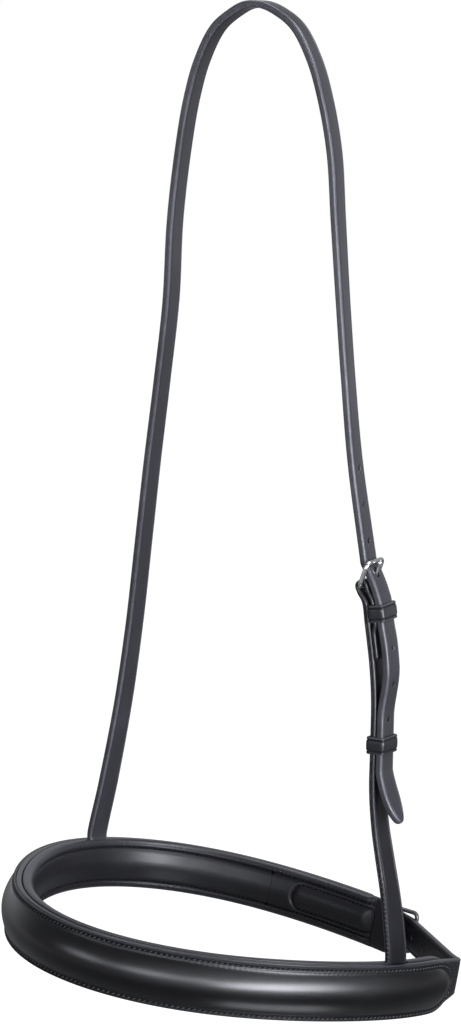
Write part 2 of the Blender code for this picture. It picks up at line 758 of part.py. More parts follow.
chin_turn_at, chin_turn_rise, chin_turn_half = turned_end(
    CHIN_BUCKLE, CHIN_TURN_END, CHIN_KEEPERS_AT, BAND_THICK
)
chin_over = lifted_by_turn(BAND_THICK, BAND_THICK)
chin_table = [under_end_bar(CHIN_BUCKLE, BAND_THICK)]
chin_table += [(at, share * chin_over) for at, share in CHIN_CLIMB]
_, chin_free = free_end(CHIN, CHIN_CLOSING, chin_table)
chin_turned = CHIN.raised(CHIN_HEEL + chin_turn_at, chin_turn_rise)

bend = CORNER_BEND / PER_DEGREE
run_angles = steps(ring_angle(chin_turned[-1:])[0], CORNER_ANGLE - 3.0 * bend, LONG_STEP / PER_DEGREE)
run_points = ring_point(run_angles[1:], 0.5 * BAND_THICK)
before = ring_point(CORNER_ANGLE - bend, 0.5 * BAND_THICK + 0.7 * CORNER_OUT)
corner = ring_point(CORNER_ANGLE, 0.5 * BAND_THICK + CORNER_OUT)
after = corner + CORNER_BEND * unit(chin_free[0] - corner)
band_knots = np.vstack([chin_turned[-1:], run_points, before, corner, after, chin_free[:1]])
band_steps = np.full(len(band_knots) - 1, LONG_STEP)
band_steps[-4:-1] = FOLD_STEP
run_centre, _ = through(band_knots, band_knots, band_steps)

band_centre = np.vstack([chin_turned[:-1], run_centre, chin_free[1:]])
band_length = run_length(band_centre)
band_angle = ring_angle(band_centre[len(chin_turned) - 1:])
band_half = np.r_[np.full(len(chin_turned) - 1, 0.5 * BILLET_HEIGHT), half_height(band_angle)]
tip_distance = band_length[-1] - band_length
band_half = np.where(tip_distance < STRAP_POINT, pointed(tip_distance, band_half), band_half)
band_thick = np.full(len(band_centre), 0.5 * BAND_THICK)
band_thick[: len(chin_turn_half)] = chin_turn_half
band_wide = np.broadcast_to(RING_N, band_centre.shape)
noseband_strap = strap_along(
    "noseband_strap", band_centre, band_wide, band_half, band_thick, PARTS, BLACK_LEATHER
)
cut(noseband_strap, slot_cutter("chin_fold_slot", CHIN, CHIN_HEEL, CHIN_BUCKLE))
cut(noseband_strap, tongue_cutter("chin_tongue_hole", CHIN, CHIN_HEEL, CHIN_BUCKLE))
chin_crossing = tongue_crossing(CHIN, CHIN_HEEL, CHIN_BUCKLE)[0]
punched(noseband_strap, "chin_holes", band_centre, band_wide, chin_crossing, CHIN_HOLE_PITCH, CHIN_HOLES)
buckle_frame("chin_buckle_frame", CHIN, CHIN_HEEL, CHIN_BUCKLE, BILLET_HEIGHT)
buckle_tongue("chin_buckle_tongue", CHIN, CHIN_HEEL, CHIN_BUCKLE)
for number, at in enumerate(CHIN_KEEPERS_AT, 1):
    keeper(
        f"chin_keeper_{number}",
        CHIN,
        CHIN_HEEL + at,
        0.5 * BAND_THICK + SEAT_GAP + KEEPER_LEATHER,
        chin_over + 0.5 * BAND_THICK + KEEPER_GAP,
        0.5 * BILLET_HEIGHT + KEEPER_GAP,
    )


# Pieces that follow the ring
def fine_at_ends(first, last, start_length, end_length):
    """Angles from first to last, closer together along a length at each end."""
    turns = np.linspace(0.0, 0.5 * math.pi, 6)
    near = first + start_length / PER_DEGREE * (1.0 - np.cos(turns))
    far = last - end_length / PER_DEGREE * (1.0 - np.cos(turns[::-1]))
    middle = steps(near[-1], far[0], LONG_STEP / PER_DEGREE)[1:-1]
    return np.r_[near, middle, far]


def rounding(from_end, length, drop):
    """How much a piece's half height falls towards its end, as an elliptical corner."""
    x = np.clip(1.0 - from_end / length, 0.0, 1.0)
    return drop * (1.0 - np.sqrt(1.0 - x * x))


def bulge(t, power):
    return math.sin(t) ** power if 0.0 < t < math.pi else 0.0


def raised_profile(base, half, border, rise, skin, way):
    """Section of a leather that is flat and sewn along both borders and raised between them."""
    inner_half = half - border
    under_half = max(inner_half - 0.5 * skin, 0.3 * half)
    turns = np.linspace(0.0, math.pi, 9)
    over = [(base + way * (skin + rise * bulge(t, 0.8)), inner_half * math.cos(t)) for t in turns]
    under = [(base + way * rise * bulge(t, 0.8), under_half * math.cos(t)) for t in turns[::-1]]
    skin_out = base + way * skin
    return [(base, half), (skin_out, half), *over, (skin_out, -half), (base, -half), *under]


def filling_profile(base, half, rise, way):
    """Section of the rounded filling under such a leather."""
    turns = np.linspace(0.0, math.pi, 7)
    return [(base + way * (0.1 + rise * bulge(t, 0.9)), half * math.cos(t)) for t in turns]


# Raised cover and its core
cover_first, cover_last = COVER_ANGLES
cover_base = BAND_THICK + SEAT_GAP


def cover_shape(angle):
    """Half height, border and rise of the cover at a ring angle."""
    from_end = min(angle - cover_first, cover_last - angle) * PER_DEGREE
    full = float(half_height(angle)) - COVER_MARGIN
    half = full - rounding(from_end, COVER_END, full - COVER_TIP)
    return half, min(COVER_BORDER, 0.4 * half), COVER_RISE * ease(from_end / COVER_RAMP)


cover_angles = fine_at_ends(cover_first, cover_last, COVER_END, COVER_END)
cover_profiles = [raised_profile(cover_base, *cover_shape(a), COVER_THICK, 1.0) for a in cover_angles]
ring_strap("raised_cover", cover_angles, cover_profiles, BLACK_LEATHER)

core_inset = CORE_INSET / PER_DEGREE
core_angles = fine_at_ends(cover_first + core_inset, cover_last - core_inset, CORE_INSET, CORE_INSET)
core_profiles = []
for angle in core_angles:
    half, border, rise = cover_shape(angle)
    core_half = half - border - 0.5 * COVER_THICK - 2.0 * SEAT_GAP
    core_profiles.append(filling_profile(cover_base, core_half, rise - 2.0 * SEAT_GAP, 1.0))
ring_strap("raised_core", core_angles, core_profiles, FOAM)

# Lining and its padding inside the band
lining_first, lining_last = LINING_ANGLES


def lining_shape(angle):
    """Half height and depth of the lining at a ring angle."""
    from_first = (angle - lining_first) * PER_DEGREE
    from_last = (lining_last - angle) * PER_DEGREE
    full = float(half_height(angle)) + LINING_PROUD
    half = full - rounding(from_first, LINING_CORNER, LINING_CORNER)
    half -= rounding(from_last, LINING_END, full - LINING_EDGE)
    fade = ease(from_last / LINING_END)
    return half, LINING_DEPTH * (0.45 + 0.55 * fade)


def quarter_turns(first_out, first_up, radius, turn_in):
    """Points round a quarter of the lining's rolled edge."""
    points = []
    for t in np.linspace(0.0, 0.5 * math.pi, 4):
        lead, lag = radius * (1 - math.sin(t)), radius * (1 - math.cos(t))
        points.append((first_out + (lead if turn_in else lag), lead if not turn_in else lag))
    return [(out, first_up - up if first_up > 0 else first_up + up) for out, up in points]


def lining_profile(half, depth):
    """Section of the lining: a leather channel, open towards the strap, with rolled edges."""
    skin = LINING_THICK
    radius = min(LINING_EDGE, 0.6 * depth, 0.6 * half)
    inner_radius = max(radius - skin, 0.4)
    outer = [(-SEAT_GAP, half), *quarter_turns(-depth, half, radius, True)]
    outer += [*quarter_turns(-depth, -half, radius, False), (-SEAT_GAP, -half)]
    half -= skin
    depth -= skin
    inner = [(-SEAT_GAP, half), *quarter_turns(-depth, half, inner_radius, True)]
    inner += [*quarter_turns(-depth, -half, inner_radius, False), (-SEAT_GAP, -half)]
    return outer + inner[::-1]


lining_angles = fine_at_ends(lining_first, lining_last, LINING_CORNER, LINING_END)
lining_profiles = [lining_profile(*lining_shape(a)) for a in lining_angles]
lining = ring_strap("nose_lining", lining_angles, lining_profiles, SOFT_LEATHER)


def padding_profile(half, depth):
    """Section of the foam, SEAT_GAP inside the lining."""
    half -= LINING_THICK + SEAT_GAP
    depth -= LINING_THICK + SEAT_GAP
    radius = min(2.4, 0.5 * depth, 0.5 * half)
    corner = 0.3 * radius
    upper = [(-SEAT_GAP, half), (-depth + radius, half)]
    upper += [(-depth + corner, half - corner), (-depth, half - radius)]
    return upper + [(out, -up) for out, up in reversed(upper)]


padding_inset = PADDING_INSET / PER_DEGREE
padding_angles = [a for a in lining_angles if lining_first + padding_inset < a < lining_last - padding_inset]
padding_profiles = [padding_profile(*lining_shape(a)) for a in padding_angles]
padding = ring_strap("nose_padding", padding_angles, padding_profiles, FOAM)

# Pockets for the two strap ends
for side, (_, top, end), angle, thick in (
    ("left", left_pocket, LEFT_POCKET_ANGLE, HEAD_THICK),
    ("right", right_pocket, RIGHT_POCKET_ANGLE, CHEEK_THICK),
):
    direction = unit(end - top)
    outward = ring_normal(angle)
    outward = unit(outward - direction * np.dot(outward, direction))
    middle = np.array([top - 2.0 * POCKET_RISE * direction, end + SEAT_GAP * direction]) + thick * outward
    pocket = strap_along(
        f"{side}_pocket",
        middle,
        np.broadcast_to(np.cross(direction, outward), (2, 3)),
        0.5 * STRAP_WIDTH + SEAT_GAP,
        1.5 * thick + SEAT_GAP,
        CUTTERS,
        None,
    )
    as_cutter(pocket)
    cut(lining, pocket)
    cut(padding, pocket)

# Chin pad: a flat back that runs on under the buckle, a cover raised in an oval and its filling
pad_first, pad_last = PAD_ANGLES
oval_first, oval_last = PAD_OVAL_ANGLES
skive_first, skive_last = PAD_SKIVE_ANGLES
pad_face = -SEAT_GAP - PAD_BACK
pad_half = 0.5 * BAND_HEIGHT + LINING_PROUD


def pad_oval(angle):
    """Border beside the pad's oval and rise of the oval at a ring angle."""
    inside = min(angle - oval_first, oval_last - angle) * PER_DEGREE
    border = PAD_BORDER + rounding(inside, PAD_OVAL, pad_half - PAD_BORDER - 1.0)
    rise = PAD_DEPTH - PAD_BACK - PAD_LEATHER - 2.0 * SEAT_GAP
    return border, rise * ease(inside / PAD_OVAL)


back_angles = fine_at_ends(pad_first, pad_last, PAD_CORNER, LINING_CORNER)
before, past = back_angles[back_angles < skive_first - 1.0], back_angles[back_angles > skive_last + 1.0]
back_angles = np.r_[before, steps(skive_first, skive_last, 1.5), past]
back_profiles = []
for angle in back_angles:
    outside = -SEAT_GAP - PAD_SKIVE * (1.0 - ease((angle - skive_first) / (skive_last - skive_first)))
    half = pad_half - rounding((angle - pad_first) * PER_DEGREE, PAD_CORNER, PAD_CORNER)
    back_profiles.append([(outside, half), (pad_face, half), (pad_face, -half), (outside, -half)])
ring_strap("chin_pad_back", back_angles, back_profiles, BLACK_LEATHER)

oval_angles = fine_at_ends(oval_first, oval_last, PAD_OVAL, PAD_OVAL)
pad_cover_angles = np.r_[PAD_COVER_FIRST, oval_angles, pad_last]
pad_cover_profiles = [
    raised_profile(pad_face - SEAT_GAP, pad_half, *pad_oval(a), PAD_LEATHER, -1.0) for a in pad_cover_angles
]
ring_strap("chin_pad_cover", pad_cover_angles, pad_cover_profiles, SOFT_LEATHER)

filled = oval_angles[3:-3]
pad_filling_profiles = []
for angle in filled:
    border, rise = pad_oval(angle)
    half = pad_half - border - 0.5 * PAD_LEATHER - 2.0 * SEAT_GAP
    pad_filling_profiles.append(filling_profile(pad_face - SEAT_GAP, half, rise - 2.0 * SEAT_GAP, -1.0))
ring_strap("chin_pad_filling", filled, pad_filling_profiles, FOAM)
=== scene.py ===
# %% [markdown]
# # A raised noseband on its head strap
#
# The real piece is the padded band that closes round a horse's nose, with the narrow strap that carries it
# over the poll. It is nearly all black leather, so the work is in thin things: rounded strap edges, creases
# pressed beside them, rows of thread, the swell of padding, and the way polished leather takes the light.
#
# Every piece here is a surface worked out as an array of points: a section carried along a line. That keeps
# each shape a short formula, and lets one function make every strap.

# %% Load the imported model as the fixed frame
import math

import bpy
import numpy as np
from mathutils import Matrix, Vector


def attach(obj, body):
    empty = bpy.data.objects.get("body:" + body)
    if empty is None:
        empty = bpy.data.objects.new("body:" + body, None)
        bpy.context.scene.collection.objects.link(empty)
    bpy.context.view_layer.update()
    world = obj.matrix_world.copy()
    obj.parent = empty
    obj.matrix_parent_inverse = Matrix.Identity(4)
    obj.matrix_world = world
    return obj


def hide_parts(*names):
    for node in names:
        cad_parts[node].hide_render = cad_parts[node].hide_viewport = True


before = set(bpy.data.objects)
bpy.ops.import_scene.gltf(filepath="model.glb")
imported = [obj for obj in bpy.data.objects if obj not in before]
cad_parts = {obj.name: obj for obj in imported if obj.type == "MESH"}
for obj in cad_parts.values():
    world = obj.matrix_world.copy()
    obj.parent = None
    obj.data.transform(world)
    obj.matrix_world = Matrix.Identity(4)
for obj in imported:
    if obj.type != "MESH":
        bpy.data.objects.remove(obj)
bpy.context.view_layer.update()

# %% [markdown]
# ## Sizes
#
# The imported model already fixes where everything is. The visible pieces repeat its sizes, in millimetres, so
# that each one lies in the space that its solid holds. Angles on the band run in degrees from the left cheek
# to the chin and on round the nose.

# %% Sizes of the band, the cover, the lining and the chin pad
MM = 0.001
SEAT_GAP, KEEPER_GAP, SLIDE_GAP, PIN_GAP, FOLD_GAP, BUCKLE_PLAY = 0.3, 0.4, 0.4, 0.5, 0.45, 1.0

RING_CENTRE = np.array([-10.4, -10.4, -466.5])
RING_PITCH = 14.7
RING_ACROSS, RING_FORE_AFT = 111.6, 118.7
# Waves per turn, with their cosine and sine parts: how far the ring swells, and how it rises and falls.
RING_SWELL = ((2, 0.7, -1.1), (3, -3.1, 4.4))
RING_WAVE = (2, 1.1, -0.3)

BAND_HEIGHT, BAND_THICK, BILLET_HEIGHT = 27.0, 3.0, 17.5
CHIN_HEEL_ANGLE = 81.0
CHIN_TAPER, BILLET_TAPER = (85.5, 89.5), (375.0, 400.0)
CORNER_ANGLE, CORNER_OUT, CORNER_BEND = 394.0, 1.5, 4.5

COVER_THICK, COVER_BORDER, COVER_RISE, COVER_MARGIN = 1.4, 2.9, 3.4, 0.5
COVER_ANGLES = (153.0, 387.0)
COVER_END, COVER_TIP = 20.0, 2.0

LINING_DEPTH, LINING_PROUD, LINING_EDGE = 7.4, 0.5, 3.6
LINING_ANGLES = (122.1, 388.0)
LINING_END = 18.0

PAD_ANGLES, PAD_COVER_FIRST, OVAL_ANGLES = (77.3, 121.8), 85.0, (83.6, 114.6)
PAD_BACK, PAD_CORNER, PAD_BORDER = 3.2, 4.0, 7.2
PAD_SKIVE, PAD_SKIVE_ANGLES = 1.3, (82.2, 86.5)
print("band:", BAND_HEIGHT, "mm high, cover over", COVER_ANGLES, "and lining over", LINING_ANGLES, "degrees")

# %% Sizes of the head strap, the cheek strap, the buckles and the keepers
STRAP_WIDTH, HEAD_THICK, CHEEK_THICK, STRAP_POINT = 13.5, 3.4, 3.0, 15.0
TWIST_CROWN, CROWN_SEAT, ARCH_SKEW = 20.0, 8.0, 0.9
# Rows of the arch over the poll: distance from its top along the strap's plane, and drop.
ARCH = ((12.2, 3.4), (21.2, 10.4), (29.6, 25.3), (35.4, 43.5), (40.2, 68.0))
# Rows of a leg: a place on its middle line, and the azimuth that its outer face looks to.
LEFT_LEG = (
    (-42.8, -13.6, -101.0, 20.0),
    (-48.9, -11.0, -141.3, 18.0),
    (-57.8, -9.2, -183.0, 17.0),
    (-67.3, -7.6, -226.1, 15.0),
    (-76.6, -5.8, -270.7, 13.5),
    (-86.2, -4.0, -316.8, 12.0),
    (-97.3, -2.9, -364.6, 8.0),
    (-110.4, -3.0, -414.0, 2.0),
)
RIGHT_LEG = (
    (41.3, 13.1, -97.5, 21.0),
    (46.2, 11.6, -134.9, 23.0),
    (51.8, 9.9, -172.5, 23.0),
    (57.9, 8.6, -210.3, 21.0),
)
CHEEK_LINE = (
    (60.8, 7.9, -228.0, 18.5),
    (64.7, 7.4, -247.5, 17.5),
    (68.6, 6.9, -267.0, 16.0),
    (72.4, 6.4, -286.3, 15.5),
    (76.2, 5.9, -305.7, 15.0),
    (79.0, 4.6, -323.0, 14.5),
    (80.9, 2.5, -339.5, 14.0),
    (82.2, 0.8, -353.5, 13.5),
    (83.7, -0.8, -368.0, 12.0),
    (86.9, -1.9, -386.5, 9.5),
    (90.6, -2.1, -403.0, 7.0),
    (94.6, -2.2, -421.0, 4.5),
)
CHEEK_HEEL_DROP = 42.4
LEFT_POCKET_ANGLE, RIGHT_POCKET_ANGLE = 177.0, 3.0
POCKET_DEPTH, POCKET_RISE, POCKET_GAP, POCKET_LEAN = 19.0, 4.0, 0.7, 4.0

CHEEK_BUCKLE = {"wire": 1.1, "reach": 12.5, "lean": 28.0, "heel": -0.8, "tongue": 0.95}
CHIN_BUCKLE = {"wire": 1.2, "reach": 15.0, "lean": 18.0, "heel": 1.0, "tongue": 1.0}
FRAME_CORNER, TONGUE_OVERHANG, TONGUE_SLOT_MARGIN, TONGUE_HOLE_MARGIN = 2.6, 1.6, 0.7, 1.0
TURN_THICK, FOLD_THICK, SKIVED, SKIVE_LENGTH = 1.9, 1.8, 0.8, 5.0
CHEEK_TURN_END, CHIN_TURN_END = 36.0, 47.0
KEEPER_LEATHER, KEEPER_TALL, KEEPER_CORNER = 1.0, 8.4, 1.7
CHEEK_KEEPER_AT, CHEEK_RUNNER_AT, CHIN_KEEPERS_AT = 13.5, 77.4, (14.5, 37.0)
# Rows of a climb: distance past the heel bar, and share of the full rise over the turned end.
CHEEK_CLIMB = ((-4.5, 0.55), (2.5, 0.84), (9.5, 1.0), (18.5, 1.0), (29.0, 1.07), (40.0, 1.05))
CHIN_CLIMB = ((-6.0, 0.66), (0.0, 0.94), (9.5, 1.0), (44.0, 1.0), (54.0, 0.9), (66.0, 0.86))
RUNNER_FLAT = (64.4, 89.4)
CHEEK_CURL = ((97.4, 1.8), (106.4, 4.4), (116.4, 7.8))
HOLE_RADIUS, HEAD_HOLE_PITCH, CHIN_HOLE_PITCH = 1.3, 17.6, 19.0
HEAD_HOLES, CHIN_HOLES = (-3, -2, -1, 1, 2, 3, 4), (-2, -1, 1, 2)
print("straps:", STRAP_WIDTH, "and", BILLET_HEIGHT, "mm wide, with", len(HEAD_HOLES + CHIN_HOLES), "holes")

# %% [markdown]
# ## Lines to carry a section along
#
# A strap is a section swept along its middle line. The line is a chain of cubics through a few knots, which
# bends smoothly and passes exactly through each knot. Its stations are then spread so that they stand close
# together where the line bends, and wide apart where it runs straight: a fold round a buckle bar needs a
# point every third of a millimetre, and a straight leg doesn't.

# %% Small helpers on whole arrays
def unit(vectors):
    return vectors / np.linalg.norm(vectors, axis=-1, keepdims=True)


def ease(x):
    """A smooth rise from 0 to 1: three x squared less two x cubed."""
    x = np.clip(x, 0.0, 1.0)
    return x * x * (3.0 - 2.0 * x)


def run_length(points):
    """Distance along a line at each of its points."""
    return np.r_[0.0, np.cumsum(np.linalg.norm(np.diff(points, axis=0), axis=1))]


def read_line(values, length, at):
    """Rows of values, known at the distances in length, read at the distances in at."""
    return np.stack([np.interp(at, length, column) for column in values.T], -1)


def hermite(start, end, leave, arrive, t):
    """A cubic from start to end that leaves and arrives with these slopes."""
    return (
        (2 * t**3 - 3 * t**2 + 1) * start
        + (t**3 - 2 * t**2 + t) * leave
        + (3 * t**2 - 2 * t**3) * end
        + (t**3 - t**2) * arrive
    )


def through(knots, carried, size):
    """A smooth line through knots. Slopes come from the neighbours, against the root of the distance between
    knots, and the carried values are blended straight from knot to knot."""
    knots, carried = np.asarray(knots, float), np.asarray(carried, float)
    gap = np.linalg.norm(np.diff(knots, axis=0), axis=1)
    grip = np.r_[0.0, np.cumsum(np.sqrt(gap))]
    slopes = np.gradient(knots, grip, axis=0)
    counts = np.maximum(1, np.round(gap / size)).astype(int)
    leg = np.repeat(np.arange(len(gap)), counts)
    t = (np.arange(len(leg)) - np.repeat(np.cumsum(counts) - counts, counts)) / counts[leg]
    leg, t = np.r_[leg, len(gap) - 1], np.r_[t, 1.0][:, None]
    span = np.diff(grip)[leg, None]
    line = hermite(knots[leg], knots[leg + 1], span * slopes[leg], span * slopes[leg + 1], t)
    return line, (1 - t) * carried[leg] + t * carried[leg + 1]


BEND_CROWDING, END_CROWDING = 6.0, 3.0


def stations(line, widest, closest=0.33, at_ends=1.2):
    """Distances along a line whose spacing falls from widest towards closest as the bend, in radians per
    millimetre, grows, and over the last millimetres before each end."""
    length = run_length(line)
    along = unit(np.gradient(line, length, axis=0))
    bend = np.linalg.norm(np.gradient(along, length, axis=0), axis=1)
    ends = np.exp(-length / at_ends) + np.exp(-(length[-1] - length) / at_ends)
    crowd = np.minimum(1.0 / widest + BEND_CROWDING * bend + END_CROWDING * ends, 1.0 / closest)
    total = np.r_[0.0, np.cumsum(0.5 * (crowd[1:] + crowd[:-1]) * np.diff(length))]
    return np.interp(np.linspace(0.0, total[-1], int(total[-1]) + 2), total, length)


def nearest_on(line, length, point, after=0.0):
    """Distance along a line of its place nearest to a point, past the distance in after."""
    away = np.linalg.norm(line - point, axis=1)
    return float(length[np.argmin(np.where(length < after, np.inf, away))])


def bell(x, width):
    """A smooth bump of height 1 at 0: e to the power of less the square of x over width."""
    return np.exp(-((x / width) ** 2))


def squared(value, power):
    """A cosine or sine pushed towards 1 and -1, which squares up the circle that it draws."""
    return np.sign(value) * np.abs(value) ** power


print("ease at a quarter, a half and three quarters:", *ease(np.array([0.25, 0.5, 0.75])))


# %% [markdown]
# ## The band's own ring
#
# The noseband is a slightly swollen ellipse that hangs lower at the chin. A place on it is an angle round the
# nose, a distance out from its inner face, and a height up its side. Cover, lining and pad are all written in
# these three numbers, so they follow each other exactly.

# %% The ring
pitch = math.radians(RING_PITCH)
RING_U = np.array([1.0, 0.0, 0.0])
RING_N = np.array([0.0, math.sin(pitch), math.cos(pitch)])
RING_V = np.cross(RING_N, RING_U)
PER_DEGREE = math.radians(1.0) * 0.5 * (RING_ACROSS + RING_FORE_AFT)  # millimetres along the ring


def ring_flat(angle):
    """Across and fore-aft place of the inner face: an ellipse plus a few waves per turn."""
    t = np.radians(np.asarray(angle, float))
    swell = sum(c * np.cos(k * t) + s * np.sin(k * t) for k, c, s in RING_SWELL)
    return (RING_ACROSS + swell) * np.cos(t), (RING_FORE_AFT + swell) * np.sin(t)


def ring_tangent(angle):
    """Direction along the ring, from two places a tenth of a degree apart."""
    angle = np.asarray(angle, float)
    across, fore_aft = np.subtract(ring_flat(angle + 0.05), ring_flat(angle - 0.05))
    return unit(across[..., None] * RING_U + fore_aft[..., None] * RING_V)


def ring_normal(angle):
    return np.cross(ring_tangent(angle), RING_N)


def ring_point(angle, out=0.0, up=0.0):
    """Centre, plus the flat place, plus out along the normal and up along the ring's axis."""
    angle = np.asarray(angle, float)
    order, cos_part, sin_part = RING_WAVE
    t = np.radians(angle)
    wave = cos_part * np.cos(order * t) + sin_part * np.sin(order * t)
    across, fore_aft = ring_flat(angle)
    flat = across[..., None] * RING_U + fore_aft[..., None] * RING_V
    lift = (np.asarray(up, float) + wave)[..., None] * RING_N
    return RING_CENTRE + flat + np.asarray(out, float)[..., None] * ring_normal(angle) + lift


def ring_angle(points):
    """Ring angles of a run of points, growing without a break."""
    across = (points - RING_CENTRE) @ RING_U / RING_ACROSS
    fore_aft = (points - RING_CENTRE) @ RING_V / RING_FORE_AFT
    return np.unwrap(np.degrees(np.arctan2(fore_aft, across)), period=360.0)


def half_height(angle):
    """Half height of the band: full over the nose, eased down to the billet and to the buckle end."""
    grow = ease((angle - CHIN_TAPER[0]) / (CHIN_TAPER[1] - CHIN_TAPER[0]))
    grow = grow * (1.0 - ease((angle - BILLET_TAPER[0]) / (BILLET_TAPER[1] - BILLET_TAPER[0])))
    return 0.5 * (BILLET_HEIGHT + (BAND_HEIGHT - BILLET_HEIGHT) * grow)


print("ring:", round(run_length(ring_point(np.arange(361.0)))[-1]), "mm round its inner face")


# %% [markdown]
# ## Routes of the straps that carry a buckle
#
# A route is a smooth line that also knows its outward side. The cheek strap hangs down from the cheek buckle
# into the band, and the chin strap is the ring itself, taken a little more than once round.

# %% Routes
ROUTE_STEP, FINE_STEP, FOLD_STEP = 0.5, 0.4, 0.3


class Route:
    """A smooth line with an outward and a width direction at each distance."""

    def __init__(self, points, outward):
        self.place, self.out = through(points, unit(np.asarray(outward, float)), ROUTE_STEP)
        self.length = run_length(self.place)
        self.along = unit(np.gradient(self.place, self.length, axis=0))

    def frame(self, distance):
        """Place, along, outward and width directions, carried on straight past the ends."""
        distance = np.asarray(distance, float)
        inside = np.clip(distance, 0.0, self.length[-1])
        along = unit(read_line(self.along, self.length, inside))
        place = read_line(self.place, self.length, inside) + (distance - inside)[..., None] * along
        out = read_line(self.out, self.length, inside)
        out = unit(out - along * np.sum(out * along, -1, keepdims=True))
        return place, along, out, np.cross(along, out)

    def raised(self, distance, rise):
        place, _, out, _ = self.frame(distance)
        return place + np.asarray(rise, float)[..., None] * out

    def nearest(self, point, after=0.0):
        return nearest_on(self.place, self.length, point, after)


def facing(azimuth):
    a = math.radians(azimuth)
    return np.array([math.cos(a), math.sin(a), 0.0])


def beside(azimuth):
    a = math.radians(azimuth)
    return np.array([math.sin(a), -math.cos(a), 0.0])


def pocket_points(angle, lean, thick):
    """A strap end above the rim of the band, at the rim, and at its stop inside the band's wall."""
    down = np.array([-POCKET_RISE, 0.0, POCKET_DEPTH])
    turn = lean * POCKET_LEAN / PER_DEGREE / POCKET_DEPTH
    return ring_point(angle + turn * down, -POCKET_GAP - 0.5 * thick, 0.5 * BAND_HEIGHT - down)


right_pocket = pocket_points(RIGHT_POCKET_ANGLE, 1.0, CHEEK_THICK)
left_pocket = pocket_points(LEFT_POCKET_ANGLE, -1.0, HEAD_THICK)
cheek_knots = np.vstack([np.array(CHEEK_LINE)[:, :3], right_pocket])
cheek_facing = [facing(row[3]) for row in CHEEK_LINE] + [ring_normal(RIGHT_POCKET_ANGLE)] * 3
CHEEK = Route(cheek_knots, cheek_facing)
CHEEK_HEEL = CHEEK.nearest(cheek_knots[0]) + CHEEK_HEEL_DROP

# From 24 degrees before the heel bar to 40 past a full turn, with a knot every 2 degrees.
ring_turns = np.arange(CHIN_HEEL_ANGLE - 24.0, CHIN_HEEL_ANGLE + 400.0, 2.0)
CHIN = Route(ring_point(ring_turns, 0.5 * BAND_THICK), ring_normal(ring_turns))
closing_place = ring_point(CHIN_HEEL_ANGLE, 0.5 * BAND_THICK)
CHIN_HEEL = CHIN.nearest(closing_place)
CHIN_CLOSING = CHIN.nearest(closing_place, 0.5 * CHIN.length[-1])
print("cheek route:", round(CHEEK.length[-1]), "mm, chin route:", round(CHIN_CLOSING - CHIN_HEEL), "mm round")


# %% [markdown]
# ## Where a strap's free end and turned end run
#
# At a buckle two ends meet. One is turned back round the heel bar and sewn to itself, thinned on its last
# few millimetres. The other rises over that fold, under the end bar and through the keepers. Both are
# tables of distance past the heel bar and rise over the strap's middle, which a level curve joins, so that
# the ends never dip into what they lie on.

# %% Free and turned ends
def lifted_by_turn(thick, free_thick):
    """Rise of a free end's middle over the strap, a keeper's inner leg and the turned end."""
    return 0.5 * (thick + free_thick) + KEEPER_LEATHER + TURN_THICK + 3.0 * SEAT_GAP


def under_end_bar(buckle, free_thick):
    """Distance and rise of a free end's middle where it passes under the end bar."""
    lean = math.radians(buckle["lean"])
    clear = buckle["wire"] + SEAT_GAP + 0.5 * free_thick
    rise = buckle["heel"] + buckle["reach"] * math.sin(lean) - clear / math.cos(lean)
    return -buckle["reach"] * math.cos(lean), rise


def level_slopes(values, knots):
    """Slopes for a curve that never overshoots: the harmonic mean of both sides, or 0 at a peak or dip."""
    rate = np.diff(values) / np.diff(knots)
    both = rate[:-1] * rate[1:]
    inner = np.where(both > 0, 2.0 * both / np.where(both > 0, rate[:-1] + rate[1:], 1.0), 0.0)
    return np.r_[rate[0], inner, rate[-1]]


def free_end(route, heel, table, size=1.3):
    """Distances and middle points of a strap that crosses its buckle."""
    knots, rises = np.array(table).T
    slopes = level_slopes(rises, knots)
    at = np.linspace(knots[0], knots[-1], int((knots[-1] - knots[0]) / size) + 1)
    leg = np.clip(np.searchsorted(knots, at, side="right") - 1, 0, len(knots) - 2)
    span = np.diff(knots)[leg]
    t = (at - knots[leg]) / span
    rise = hermite(rises[leg], rises[leg + 1], span * slopes[leg], span * slopes[leg + 1], t)
    return at, route.raised(heel + at, rise)


